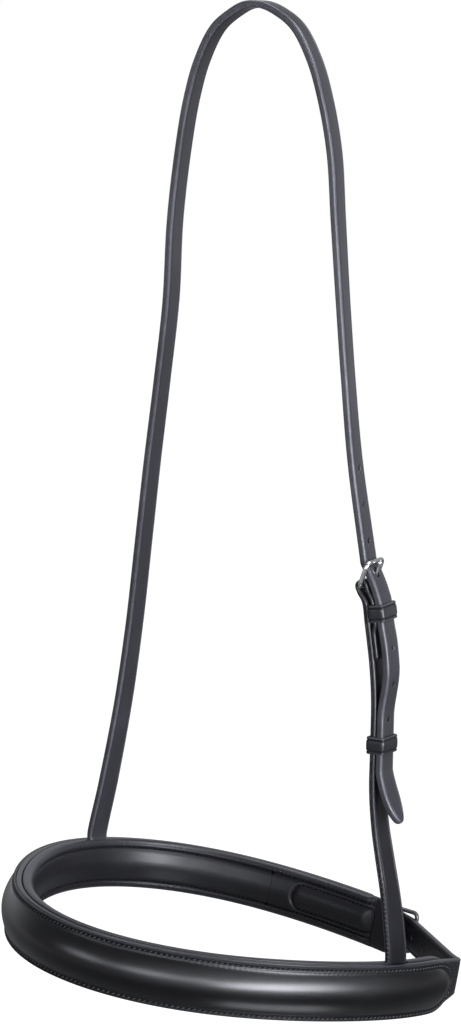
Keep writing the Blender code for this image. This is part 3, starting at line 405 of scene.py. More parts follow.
def turned_end(buckle, turn_end, keepers, thick):
    """Distances, rises and half thicknesses of a strap end turned back round a heel bar, from its tip."""
    fold = buckle["wire"] + FOLD_GAP + 0.5 * FOLD_THICK
    low = 0.5 * thick + SEAT_GAP + 0.5 * TURN_THICK
    high = low + KEEPER_LEATHER + SEAT_GAP
    reach = 0.5 * KEEPER_TALL + 2.0 * SEAT_GAP
    corners = [(turn_end, low), (turn_end - SKIVE_LENGTH, low)]
    for keeper_at in reversed(keepers):
        if keeper_at + reach + SKIVE_LENGTH < corners[-1][0]:
            corners.append((keeper_at + reach + SKIVE_LENGTH, low))
        corners += [(keeper_at + reach, high), (keeper_at - reach, high)]
        if keeper_at != keepers[0]:
            corners.append((keeper_at - reach - SKIVE_LENGTH, low))
    corners = np.array(corners)
    t = np.linspace(0.0, 1.0, 4, endpoint=False)[None, :, None]
    path = corners[:-1, None] + (corners[1:] - corners[:-1])[:, None] * np.concatenate([t, ease(t)], -1)
    path = np.vstack([path.reshape(-1, 2), corners[-1:]])
    root = corners[-1, 0]
    t = np.array([0.35, 0.68])
    path = np.vstack([path, np.c_[root * (1 - t), high + (buckle["heel"] + fold - high) * ease(t)]])
    half = np.full(len(path), 0.5 * TURN_THICK)
    half[0] = 0.5 * SKIVED
    turn = np.radians(np.linspace(90.0, 270.0, 13))
    loop = np.c_[fold * np.cos(turn), buckle["heel"] + fold * np.sin(turn)]
    t = np.array([0.35, 0.7, 1.0])
    back = np.c_[root * t, (buckle["heel"] - fold) * (1 - ease(t))]
    half = np.r_[half, np.full(13, 0.5 * FOLD_THICK), 0.5 * (FOLD_THICK + t * (thick - FOLD_THICK))]
    at, rise = np.vstack([path, loop, back]).T
    return at, rise, half


TONGUE_CROSSING = 0.45
POINT_POWER, POINT_LEAST = 1.7, 0.06


def pointed(to_tip):
    """Share of the full width left at a distance from a strap's point: an ellipse-like curve."""
    x = np.clip(to_tip / STRAP_POINT, 0.0, 1.0)
    return np.maximum(np.sqrt(1.0 - (1.0 - x) ** POINT_POWER), POINT_LEAST)


def buckle_axes(route, heel, buckle):
    """Centre of the heel bar, and the directions along the bar, towards the end bar, and outward."""
    place, along, out, _ = route.frame(heel)
    lean = math.radians(buckle["lean"])
    reach = -math.cos(lean) * along + math.sin(lean) * out
    face = math.cos(lean) * out + math.sin(lean) * along
    return place + buckle["heel"] * out, np.cross(reach, face), reach, face


def tongue_radius(buckle):
    return buckle["wire"] + PIN_GAP + buckle["tongue"]


def tongue_crossing(route, heel, buckle):
    """Where the tongue passes through the strap, a share of the way to the end bar, and its direction."""
    place, _, reach, face = buckle_axes(route, heel, buckle)
    return place + TONGUE_CROSSING * buckle["reach"] * reach + tongue_radius(buckle) * face, reach


cheek_over = lifted_by_turn(CHEEK_THICK, HEAD_THICK)
print("the head strap lies", round(cheek_over, 2), "mm over the cheek strap where it crosses the turned end")


# %% [markdown]
# ## From sections to a mesh
#
# All the surfaces are grids: rows are stations along the piece, columns go round its section. The same rule
# numbers the faces of every grid, and the sign of the volume that they enclose says whether they already
# face outward. Each point also carries marks, such as how near it is to a cut edge, that the finish reads:
# a mark stays with the leather where a pattern in space would not.

# %% Meshes from grids
def face_outward(points, quads, fans):
    """Quads and end fans, turned over where the quads enclose less than nothing. The volume is a sum over
    both halves of each quad: a corner, times the cross product of the two other corners."""
    a, b, c, d = (points[quads[:, k]] for k in range(4))
    if np.sum(a * (np.cross(b, c) + np.cross(c, d))) < 0.0:
        return quads[:, ::-1], fans[:, ::-1]
    return quads, fans


def new_mesh(name, points, faces, finish, marks=None):
    """An object at the origin with its place in its mesh, smooth all over, with its marks as attributes."""
    mesh = bpy.data.meshes.new(name)
    mesh.from_pydata((points * MM).tolist(), [], faces)
    mesh.materials.append(finish)
    mesh.shade_smooth()
    for mark, values in (marks or {}).items():
        mesh.attributes.new(mark, "FLOAT", "POINT").data.foreach_set("value", values.astype(np.float32))
    piece = bpy.data.objects.new(name, mesh)
    bpy.context.scene.collection.objects.link(piece)
    return piece


def skin(name, sections, finish, looped=False, **marks):
    """A closed surface through sections: quads from station to station, and a fan to the middle of each end
    unless the stations run round in a loop."""
    count, around, _ = sections.shape
    points = sections.reshape(-1, 3)
    i = np.arange(count if looped else count - 1)[:, None]
    j = np.arange(around)[None, :]
    k, after = (j + 1) % around, (i + 1) % count
    corners = [i * around + j, i * around + k, after * around + k, after * around + j]
    quads = np.stack(np.broadcast_arrays(*corners), -1).reshape(-1, 4)
    values = {mark: np.broadcast_to(value, (count, around)).ravel() for mark, value in marks.items()}
    fans = np.empty((0, 3), int)
    if not looped:
        first = np.stack([k[0], j[0], np.full(around, count * around)], -1)
        last = np.stack([j[0], k[0], np.full(around, 1 + around)], -1) + (count - 1) * around
        fans = np.vstack([first, last])
        points = np.vstack([points, sections[0].mean(0), sections[-1].mean(0)])
        values = {m: np.r_[v, v[:around].mean(), v[-around:].mean()] for m, v in values.items()}
    quads, fans = face_outward(points, quads, fans)
    piece = new_mesh(name, points, quads.tolist() + fans.tolist(), finish, values)
    piece.data.polygons.foreach_set("use_smooth", np.arange(len(quads) + len(fans)) < len(quads))
    return piece


def settle(piece, body, slot, *nodes):
    """Puts a finished piece on its body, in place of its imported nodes."""
    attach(piece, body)
    if nodes:
        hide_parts(*nodes)
    triangles = sum(len(face.vertices) - 2 for face in piece.data.polygons)
    print(f"{piece.name}: {triangles} triangles on {body}")
    return piece


# %% [markdown]
# ## Shader sums
#
# A finish is a formula: grain times depth, plus creases, less wear. Writing it as Python sums keeps it
# readable, so one small class stands for a socket and turns each operator into a Math node.

# %% The socket class
class Socket:
    """A shader value: sums add Math nodes, and node() adds any other node of the same tree."""

    def __init__(self, tree, link):
        self.tree, self.link = tree, link

    def node(self, kind, settings=None, values=None, output=0):
        """A node of this kind, with its settings made first and then its sockets' values or links."""
        made = self.tree.nodes.new(kind)
        for key, value in (settings or {}).items():
            if key == "stops":
                ramp = made.color_ramp
                while len(ramp.elements) < len(value):
                    ramp.elements.new(0.5)
                for element, (position, level) in zip(ramp.elements, value):
                    element.position = position
                    element.color = (level, level, level, 1.0)
            else:
                setattr(made, key, value)
        for key, value in (values or {}).items():
            if isinstance(value, Socket):
                self.tree.links.new(value.link, made.inputs[key])
            else:
                made.inputs[key].default_value = value
        return Socket(self.tree, made.outputs[output])

    def maths(self, operation, *values, clamp=False):
        settings = {"operation": operation, "use_clamp": clamp}
        return self.node("ShaderNodeMath", settings, dict(enumerate(values)))

    def __add__(self, other):
        return self.maths("ADD", self, other)

    def __sub__(self, other):
        return self.maths("SUBTRACT", self, other)

    def __rsub__(self, other):
        return self.maths("SUBTRACT", other, self)

    def __mul__(self, other):
        return self.maths("MULTIPLY", self, other)

    def __truediv__(self, other):
        return self.maths("DIVIDE", self, other)

    def __rtruediv__(self, other):
        return self.maths("DIVIDE", other, self)

    def __pow__(self, other):
        return self.maths("POWER", self, other)

    __radd__ = __add__
    __rmul__ = __mul__

    def clear(self):
        """The value held between 0 and 1."""
        return self.maths("ADD", self, 0.0, clamp=True)

    def tint(self, low, high):
        """A colour from low to high as this value goes from 0 to 1."""
        colours = {0: self, 6: (*low, 1.0), 7: (*high, 1.0)}
        return self.node("ShaderNodeMix", {"data_type": "RGBA"}, colours, 2)


# %% [markdown]
# ## Leather
#
# Bridle leather is dyed through, waxed and polished, so it is black with a thin clear gloss over a fine
# pebbled grain. Three scales show on it: cells of about half a millimetre, pores between them, and slow
# drifts over centimetres where the wax is thicker. Cut edges and rubbed corners go a little paler and
# smoother: partly real burnished wear, and partly a painted highlight for the light that their rounded
# corners catch. Pressed creases and sewn grooves take no polish and go darker: partly the darker pressed
# line itself, and partly painted shade in the groove. All of it comes from one formula with different
# amounts, as the real straps, lining and cover are cut from different hides but finished alike. The head
# strap's leather is painted paler than the cheek strap's as well: painted light, standing for the stronger
# light on the upper straps. The cover is the glossiest, and only its cut edge is left raw.
#
# The grain could be painted on an unwrapped surface. Taken from the place in space instead, it has no seam,
# and the straps turn slowly enough for it not to stretch.

# %% The leather finish
def new_finish(name):
    """An empty finish: its shader and a first socket, the place on the piece."""
    finish = bpy.data.materials.new(name)
    finish.use_nodes = True
    tree = finish.node_tree
    shader = tree.nodes["Principled BSDF"]
    place = tree.nodes.new("ShaderNodeTexCoord")
    return finish, shader, Socket(tree, place.outputs["Object"])


def noise(place, scale, detail=2.0, roughness=0.5):
    values = {"Vector": place, "Scale": scale, "Detail": detail, "Roughness": roughness}
    return place.node("ShaderNodeTexNoise", {"noise_dimensions": "3D"}, values)


def mark(place, name):
    return place.node("ShaderNodeAttribute", {"attribute_name": name}, output=2)


def connect(socket, shader, name):
    socket.tree.links.new(socket.link, shader.inputs[name])


# How many cells of each noise lie along a metre: drifts of wax, streaks, the bend of the grain, and pores.
DRIFTS, STREAKS, BENDS, PORES = 34.0, 260.0, 900.0, 5200.0
BEND_REACH = 0.35
SPECULAR = 0.24


def leather(name, dark, worn_and_glint, rough, grain, depth, coat, coat_rough, raw_edge=0.0):
    """Grain is the size of its cells and depth their height, in millimetres. A raw edge has less polish."""
    finish, shader, place = new_finish(name)
    drift = noise(place, DRIFTS, 3.0)
    streak = noise(place, STREAKS, 3.0, 0.6)
    push = place.node("ShaderNodeTexNoise", None, {"Vector": place, "Scale": BENDS, "Detail": 1.0}, 1)
    bent = place.node(
        "ShaderNodeVectorMath", {"operation": "MULTIPLY_ADD"}, {0: push, 1: (BEND_REACH * MM,) * 3, 2: place}
    )
    cells = place.node(
        "ShaderNodeTexVoronoi", {"feature": "DISTANCE_TO_EDGE"}, {"Vector": bent, "Scale": 1000.0 / grain}
    )
    pebble = cells.maths("MULTIPLY", cells, 2.6, clamp=True) ** 0.5
    pores = noise(place, PORES)
    edge, crease = mark(place, "edge"), mark(place, "crease")
    # Paler towards cut edges: partly burnished wear, partly a painted highlight. Darker in creases and
    # grooves: partly the pressed line, partly painted shade.
    rubbed_and_glint = (edge * (0.45 + drift) * (0.35 + 1.1 * streak)).clear()
    paler = (rubbed_and_glint + 0.35 * (drift - 0.5) - 0.8 * crease).clear()
    connect(paler.tint(dark, worn_and_glint), shader, "Base Color")
    dull = rough + 0.22 * (drift - 0.5) + 0.1 * (streak - 0.5) - 0.1 * rubbed_and_glint + 0.12 * (1.0 - pebble)
    unpolished = (crease + raw_edge * edge).clear()
    connect((dull + 0.3 * unpolished).clear(), shader, "Roughness")
    connect(coat * (1.0 - unpolished), shader, "Coat Weight")
    height = depth * (0.8 * pebble + 0.2 * pores) * (1.0 - 0.6 * edge) + 0.5 * depth * streak
    bump = place.node("ShaderNodeBump", None, {"Height": height * MM, "Strength": 1.0, "Distance": 1.0})
    connect(bump, shader, "Normal")
    shader.inputs["Specular IOR Level"].default_value = SPECULAR
    shader.inputs["Coat Roughness"].default_value = coat_rough
    finish.diffuse_color = (*dark, 1.0)
    return finish


# The head strap's leather is painted paler than the cheek strap's: painted light, a lit copy standing for the
# stronger light on the upper straps.
HEAD_STRAP_LIT_LEATHER = leather(
    "strap_leather", (0.034, 0.034, 0.039), (0.145, 0.145, 0.162), 0.34, 0.55, 0.02, 0.4, 0.2
)
BAND_LEATHER = leather("band_leather", (0.01, 0.01, 0.012), (0.06, 0.06, 0.068), 0.34, 0.55, 0.02, 0.4, 0.2)
COVER_LEATHER = leather(
    "cover_leather", (0.001, 0.001, 0.0013), (0.008, 0.008, 0.01), 0.31, 0.45, 0.006, 1.0, 0.25, 0.9
)
LINING_LEATHER = leather(
    "lining_leather", (0.009, 0.009, 0.011), (0.05, 0.05, 0.058), 0.42, 0.5, 0.02, 0.55, 0.3
)
print("leathers:", *(f.name for f in (HEAD_STRAP_LIT_LEATHER, BAND_LEATHER, COVER_LEATHER, LINING_LEATHER)))

# %% [markdown]
# ## Steel and thread
#
# The cheek buckle is polished stainless wire: nearly a mirror, softened by fine handling scratches that only
# change how rough it is. The chin buckle shows no bright metal, so it gets the same formula in darker tones.
# The thread is waxed black linen, a shade paler than the leather, with the twist of its plies as a slanting
# ripple. The rows on the lining and the chin pad lie in grooves, so their thread is painted darker, a painted
# shade that hardly shows.

# %% The steel and thread finishes
def steel(name, dark, bright, dull):
    finish, shader, place = new_finish(name)
    haze = noise(place, 420.0, 4.0, 0.7)
    scratch = noise(place, 2600.0, 2.0)
    connect((dull + 0.16 * haze * haze + 0.05 * scratch).clear(), shader, "Roughness")
    connect(haze.tint(dark, bright), shader, "Base Color")
    bump = place.node("ShaderNodeBump", None, {"Height": scratch * 0.002 * MM, "Distance": 1.0})
    connect(bump, shader, "Normal")
    shader.inputs["Metallic"].default_value = 1.0
    finish.diffuse_color = (0.6, 0.6, 0.62, 1.0)
    return finish


def thread(name, dark, pale):
    finish, shader, place = new_finish(name)
    ply = place.node(
        "ShaderNodeTexWave",
        {"wave_type": "BANDS", "bands_direction": "DIAGONAL"},
        {"Vector": place, "Scale": 1500.0, "Distortion": 0.4},
        1,
    )
    connect(ply.tint(dark, pale), shader, "Base Color")
    bump = place.node("ShaderNodeBump", None, {"Height": ply * 0.03 * MM, "Distance": 1.0})
    connect(bump, shader, "Normal")
    shader.inputs["Roughness"].default_value = 0.55
    finish.diffuse_color = (0.05, 0.05, 0.055, 1.0)
    return finish


STEEL = steel("polished_steel", (0.8, 0.8, 0.8), (0.92, 0.92, 0.92), 0.2)
DARK_STEEL = steel("darkened_steel", (0.09, 0.09, 0.095), (0.16, 0.16, 0.17), 0.34)
THREAD = thread("waxed_thread", (0.02, 0.02, 0.023), (0.1, 0.1, 0.113))
# The lining's thread is painted darker than the cover's: painted shade, as its rows lie down in their grooves.
SHADED_LINING_THREAD = thread("lining_thread_painted_shade", (0.012, 0.012, 0.014), (0.05, 0.05, 0.058))
print("finishes:", *(f.name for f in (STEEL, DARK_STEEL, THREAD, SHADED_LINING_THREAD)))

# %% [markdown]
# ## One function for every strap
#
# A cut strap has four rounded, burnished corners, and a line creased into each face a little way in from
# its edges. Its section is written in shares, so it keeps its corners where the strap narrows to a point:
# a point lies at its share of the flat plus its share of the corner. The ends are rounded by drawing both
# halves in along a quarter circle.

# %% Strap sections
EDGE_ROUND = 1.1
CREASE_IN, CREASE_WIDTH = 1.9, 0.3
CROWN_RISE, WEAR_AND_GLINT_WIDTH, END_DRAW = 0.1, 0.35, 0.8


def strap_outline(half_width, crease, split):
    """Rows of across share, across corner, deep share, deep corner and dent, plus edge and crease marks.
    Split is how far the line between two glued layers is drawn in, as a share of the corner."""
    turn = np.radians(np.linspace(0.0, 90.0, 6))
    fine = half_width - CREASE_IN - CREASE_WIDTH * np.array([-2.0, -1.0, -0.5, 0.0, 0.5, 1.0, 2.0])
    face = np.r_[fine, np.linspace(fine[-1], -fine[-1], 9)[1:-1], -fine[::-1]]
    inset = half_width - np.abs(face)
    pressed = bell(inset - CREASE_IN, CREASE_WIDTH)
    crown = CROWN_RISE * (1.0 - (face / half_width) ** 2)
    dent = crease * pressed + CROWN_RISE - crown
    near = np.exp(-(inset - EDGE_ROUND) / WEAR_AND_GLINT_WIDTH)
    flat = face / (half_width - EDGE_ROUND)
    cos, sin, zero, one = np.cos(turn), np.sin(turn), np.zeros_like(turn), np.ones_like(turn)
    parts = []
    for sx, sy, order in ((1, 1, 1), (-1, 1, -1), (-1, -1, 1), (1, -1, -1)):
        corner = [sx * one, sx * cos, sy * one, sy * sin, zero, 0.3 + 0.5 * sin, zero]
        parts.append(np.stack(corner, -1)[::order])
        if sx * sy > 0:
            level = np.full_like(face, float(sy))
            parts.append(np.stack([sy * flat, 0 * face, level, level, sy * dent, near, pressed], -1))
        else:
            joint = np.array([[sx, sx, 0.7 * sy, 0.0, 0.0, 0.3, 0.0]] * 3)
            joint[1, 1:] = (sx * (1.0 - split), 0.0, 0.0, 0.0, 0.2, min(1.0, 4.0 * split))
            joint[2, 2] *= -1.0
            parts.append(joint)
    return np.vstack(parts)


def wound_strap(
    name, line, wide, half_width, half_thick, finish, widest=2.2, crease=0.26, split=0.0, tip=False
):
    """A strap whose middle runs along a dense line, with its width kept along wide."""
    length = run_length(line)
    at = stations(line, widest)
    extra = np.column_stack(np.broadcast_arrays(half_width, half_thick, length)[:2])
    place, wide = read_line(line, length, at), read_line(wide, length, at)
    half_width, half_thick = read_line(extra, length, at).T
    full = float(half_width.max())
    if tip:
        half_width = half_width * pointed(length[-1] - at)
    along = unit(np.gradient(place, at, axis=0))
    wide = unit(wide - along * np.sum(wide * along, -1, keepdims=True))
    out = np.cross(wide, along)
    close = np.clip(np.minimum(at, length[-1] - at) / EDGE_ROUND, 0.0, 1.0)
    drawn = 1.0 - np.sqrt(1.0 - (1.0 - close) ** 2)
    half_thick = half_thick - END_DRAW * np.minimum(EDGE_ROUND, half_thick) * drawn
    half_width = half_width - END_DRAW * np.minimum(EDGE_ROUND, half_width) * drawn
    corner = np.minimum(EDGE_ROUND, 0.9 * np.minimum(half_thick, half_width))[:, None]
    shares = strap_outline(full, crease, split)
    across = shares[:, 0] * (half_width[:, None] - corner) + shares[:, 1] * corner
    deep = shares[:, 2] * (half_thick[:, None] - corner) + shares[:, 3] * corner - shares[:, 4]
    sections = place[:, None] + across[..., None] * wide[:, None] + deep[..., None] * out[:, None]
    return skin(name, sections, finish, edge=shares[:, 5], crease=shares[:, 6])


print("strap section:", len(strap_outline(0.5 * STRAP_WIDTH, 0.26, 0.0)), "points round it")

# %% [markdown]
# ## Holes and slots
#
# Punched holes have a soft rim, because the punch drags the grain in with it. A cutter shaped like a thread
# spool leaves such a rim: straight in the middle and flared where it meets the faces. It is turned from a
# short profile and taken away from the strap exactly.

# %% Punching
CUT_EDGE_ANGLE = 50.0


def spool(places, axes, radius, half_thick, flare=0.32, sides=28):
    """Cutters of revolution standing at places along axes, flared beyond half_thick."""
    level = np.array([0.0, half_thick - 0.5, half_thick - 0.2, half_thick + 0.05, half_thick + 2.5])
    wider = np.array([0.0, 0.0, 0.25, 1.0, 6.0]) * flare
    z, r = np.r_[-level[:0:-1], level], radius + np.r_[wider[:0:-1], wider]
    turn = np.linspace(0.0, 2.0 * math.pi, sides, endpoint=False)
    first = unit(np.cross(axes, [0.3, 0.5, 0.8]))
    second = np.cross(axes, first)
    ring = np.cos(turn)[:, None] * first[:, None] + np.sin(turn)[:, None] * second[:, None]
    rings = ring[:, None] * r[None, :, None, None] + (axes[:, None] * z[:, None])[:, :, None]
    return places[:, None, None] + rings


def cut_away(piece, sections):
    """Takes closed lofts away from a piece and keeps the result as its mesh."""
    for number, section in enumerate(sections):
        cutter = skin(f"cutter_{number}", section, piece.data.materials[0], edge=0.0, crease=0.0)
        modifier = piece.modifiers.new("cut", "BOOLEAN")
        modifier.operation, modifier.solver, modifier.object = "DIFFERENCE", "EXACT", cutter
        ready = piece.evaluated_get(bpy.context.evaluated_depsgraph_get())
        mesh = bpy.data.meshes.new_from_object(ready)
        piece.modifiers.clear()
        piece.data = mesh
        bpy.data.objects.remove(cutter)
    piece.data.shade_smooth()
    piece.data.set_sharp_from_angle(angle=math.radians(CUT_EDGE_ANGLE))


def hole_places(line, wide, crossing, hole_pitch, numbers):
    """Places and axes of holes along the free half of a strap, counted from the one round the tongue."""
    length = run_length(line)
    at = nearest_on(line, length, crossing, 0.5 * length[-1]) + hole_pitch * np.array(numbers)
    out = np.cross(wide, unit(np.gradient(line, length, axis=0)))
    return read_line(line, length, at), unit(read_line(out, length, at))


# %% [markdown]
# ## The head strap
#
# One strap runs from the right side of the band up over the poll and down to the cheek buckle, where its
# free end lies over the cheek strap and curls out at the point. It turns slowly about its own line on the
# way, because each end has to lie flat on the horse's cheek.

# %% Head strap
runner_rise = 0.5 * (CHEEK_THICK + HEAD_THICK) + SLIDE_GAP
cheek_table = [under_end_bar(CHEEK_BUCKLE, HEAD_THICK)]
cheek_table += [(at, share * cheek_over) for at, share in CHEEK_CLIMB]
cheek_table += [(at, runner_rise) for at in RUNNER_FLAT]
cheek_table += [(at, runner_rise + curl) for at, curl in CHEEK_CURL]
billet_at, billet_points = free_end(CHEEK, CHEEK_HEEL, cheek_table)
billet_wide = CHEEK.frame(CHEEK_HEEL + billet_at)[3]

crown_top = np.array([0.0, 0.0, 0.5 * HEAD_THICK])
crown_run, crown_wide = facing(TWIST_CROWN), beside(TWIST_CROWN)
head_knots = [(point, ring_tangent(LEFT_POCKET_ANGLE)) for point in left_pocket[::-1]]
head_knots += [(row[:3], beside(row[3])) for row in LEFT_LEG[::-1]]
head_knots += [
    (crown_top - (span - ARCH_SKEW) * crown_run - (0, 0, drop), crown_wide) for span, drop in ARCH[::-1]
]
head_knots += [(crown_top + side * 0.5 * CROWN_SEAT * crown_run, crown_wide) for side in (-1, 1)]
head_knots += [(crown_top + span * crown_run - (0, 0, drop), crown_wide) for span, drop in ARCH]
head_knots += [(row[:3], beside(row[3])) for row in RIGHT_LEG]
head_knots += list(zip(billet_points[:1], billet_wide[:1]))
leg_line, leg_wide = through([k[0] for k in head_knots], [k[1] for k in head_knots], FINE_STEP)
end_line, end_wide = through(billet_points, billet_wide, FINE_STEP)
head_line, head_wide = np.vstack([leg_line, end_line[1:]]), np.vstack([leg_wide, end_wide[1:]])

head_strap = wound_strap(
    "head_strap_leather", head_line, head_wide, 0.5 * STRAP_WIDTH, 0.5 * HEAD_THICK, HEAD_STRAP_LIT_LEATHER, tip=True
)
cheek_crossing, cheek_reach = tongue_crossing(CHEEK, CHEEK_HEEL, CHEEK_BUCKLE)
places, axes = hole_places(head_line, head_wide, cheek_crossing, HEAD_HOLE_PITCH, HEAD_HOLES)
holes = spool(places, axes, HOLE_RADIUS, 0.5 * HEAD_THICK)
tongue_hole = spool(
    cheek_crossing[None], cheek_reach[None], CHEEK_BUCKLE["tongue"] + TONGUE_HOLE_MARGIN, 4.0, 0.0
)
cut_away(head_strap, [*holes, *tongue_hole])
settle(head_strap, "straps", "black_leather", "head_strap")

# %% [markdown]
# ## The cheek strap
#
# It is folded up round the heel bar and sewn back on itself, so its line doubles back on a tight arc. It is
# cut from two layers, and a groove along its narrow sides stands for the line of glue between them.

# %% Cheek strap
turn_at, turn_rise, turn_half = turned_end(CHEEK_BUCKLE, CHEEK_TURN_END, (CHEEK_KEEPER_AT,), CHEEK_THICK)
run_at = np.linspace(turn_at[-1], CHEEK.length[-1] - CHEEK_HEEL, 24)[1:]
at = CHEEK_HEEL + np.r_[turn_at, run_at]
rise = np.r_[turn_rise, np.zeros_like(run_at)]
half = np.r_[turn_half, np.full(len(run_at), 0.5 * CHEEK_THICK)]
cheek_line, extra = through(CHEEK.raised(at, rise), np.c_[CHEEK.frame(at)[3], half], FOLD_STEP)
cheek_wide, cheek_half = extra[:, :3], extra[:, 3]
cheek_strap = wound_strap(
    "cheek_strap_leather", cheek_line, cheek_wide, 0.5 * STRAP_WIDTH, cheek_half, BAND_LEATHER, 1.6, split=0.4
)


def fold_slot(route, heel, buckle):
    """A box with rounded corners through the fold, which leaves the tongue free."""
    half = buckle["tongue"] + TONGUE_SLOT_MARGIN
    depth = tongue_radius(buckle) + buckle["tongue"] + TONGUE_OVERHANG
    place, along, out, wide = route.frame(heel)
    centre = place + buckle["heel"] * out
    turn = np.linspace(0.0, 2.0 * math.pi, 24, endpoint=False)
    across, run = half * squared(np.cos(turn), 0.35), depth * squared(np.sin(turn), 0.6)
    level = np.array([-1.5, -0.5, 0.5, 1.5]) * depth
    flat = across[:, None] * wide + run[:, None] * along
    return centre + flat[None] + level[:, None, None] * out


cut_away(cheek_strap, [fold_slot(CHEEK, CHEEK_HEEL, CHEEK_BUCKLE)])
settle(cheek_strap, "straps", "black_leather", "cheek_strap")

# %% [markdown]
# ## The noseband strap
#
# The band's own leather goes once round the nose. At the chin it is turned round the buckle, over the nose
# it stands full height behind the padding, and past the left cheek it narrows, turns a corner where its
# padding ends, and runs straight to the buckle.

# %% Noseband strap
chin_turn_at, chin_turn_rise, chin_turn_half = turned_end(
    CHIN_BUCKLE, CHIN_TURN_END, CHIN_KEEPERS_AT, BAND_THICK
)
chin_over = lifted_by_turn(BAND_THICK, BAND_THICK)
chin_table = [under_end_bar(CHIN_BUCKLE, BAND_THICK)]
chin_table += [(at, share * chin_over) for at, share in CHIN_CLIMB]
_, chin_free = free_end(CHIN, CHIN_CLOSING, chin_table)
chin_turned = CHIN.raised(CHIN_HEEL + chin_turn_at, chin_turn_rise)

bend = CORNER_BEND / PER_DEGREE
run_angles = np.linspace(ring_angle(chin_turned[-1:])[0], CORNER_ANGLE - 3.0 * bend, 72)[1:]
run_points = ring_point(run_angles, 0.5 * BAND_THICK)
before = ring_point(CORNER_ANGLE - bend, 0.5 * BAND_THICK + 0.7 * CORNER_OUT)
corner = ring_point(CORNER_ANGLE, 0.5 * BAND_THICK + CORNER_OUT)
after = corner + CORNER_BEND * unit(chin_free[0] - corner)
fold_line, fold_half = through(chin_turned, chin_turn_half[:, None], FOLD_STEP)
run_knots = np.vstack([chin_turned[-1:], run_points, before, corner, after, chin_free[:1]])
run_line, _ = through(run_knots, run_knots, FINE_STEP)
last_line, _ = through(chin_free, chin_free, FINE_STEP)
band_line = np.vstack([fold_line[:-1], run_line, last_line[1:]])
folded = len(fold_line) - 1
band_half = np.r_[np.full(folded, 0.5 * BILLET_HEIGHT), half_height(ring_angle(band_line[folded:]))]
band_thick = np.r_[fold_half[:-1, 0], np.full(len(band_line) - folded, 0.5 * BAND_THICK)]
band_wide = np.broadcast_to(RING_N, band_line.shape)
noseband = wound_strap(
    "noseband_strap_leather", band_line, band_wide, band_half, band_thick, BAND_LEATHER, 2.4, tip=True
)
chin_crossing, chin_reach = tongue_crossing(CHIN, CHIN_HEEL, CHIN_BUCKLE)
places, axes = hole_places(band_line, band_wide, chin_crossing, CHIN_HOLE_PITCH, CHIN_HOLES)
holes = spool(places, axes, HOLE_RADIUS, 0.5 * BAND_THICK)
tongue_hole = spool(
    chin_crossing[None], chin_reach[None], CHIN_BUCKLE["tongue"] + TONGUE_HOLE_MARGIN, 5.0, 0.0
)
cut_away(noseband, [*holes, *tongue_hole, fold_slot(CHIN, CHIN_HEEL, CHIN_BUCKLE)])
settle(noseband, "straps", "black_leather", "noseband_strap")


# %% [markdown]
# ## Buckles
#
# Each frame is one round wire bent to a rectangle and polished, thinner on its heel bar where the strap and
# the tongue sit. The tongue is a flat-nosed pin whose tail is rolled round that bar. Both are tubes: a circle
# carried along a line, with a radius that changes on the way.

# %% Wire pieces
HEEL_THINNING, TAIL_ROLL = 0.16, (352.0, 90.0)


def tube(name, line, sideways, radius, squash, finish, looped=False, around=20):
    """A tube along a line: radius times cosine along the side direction, and times sine and squash across."""
    ahead = np.roll(line, -1, 0) - np.roll(line, 1, 0) if looped else np.gradient(line, axis=0)
    along = unit(ahead)
    side = np.broadcast_to(sideways, line.shape)
    side = unit(side - along * np.sum(side * along, -1, keepdims=True))
    up = np.cross(along, side)
    turn = np.linspace(0.0, 2.0 * math.pi, around, endpoint=False)
    radius = np.broadcast_to(radius, len(line))[:, None, None]
    squash = np.broadcast_to(squash, len(line))[:, None, None]
    ring = np.cos(turn)[:, None] * side[:, None] + squash * np.sin(turn)[:, None] * up[:, None]
    return skin(name, line[:, None] + radius * ring, finish, looped)


def round_corners(low_x, high_x, low_y, high_y, radius, steps):
    """A rectangle's outline with quarter circles at its corners, evenly spaced along its sides."""
    turn = np.radians(np.linspace(0.0, 90.0, 10))
    arcs = []
    for number, (x, y) in enumerate(((high_x, high_y), (low_x, high_y), (low_x, low_y), (high_x, low_y))):
        a = turn + 0.5 * math.pi * number
        x -= math.copysign(radius, x - 0.5 * (low_x + high_x))
        y -= math.copysign(radius, y - 0.5 * (low_y + high_y))
        arcs.append(np.c_[x + radius * np.cos(a), y + radius * np.sin(a)])
    loop = np.vstack([*arcs, arcs[0][:1]])
    length = run_length(loop)
    return read_line(loop, length, np.linspace(0.0, length[-1], steps, endpoint=False))


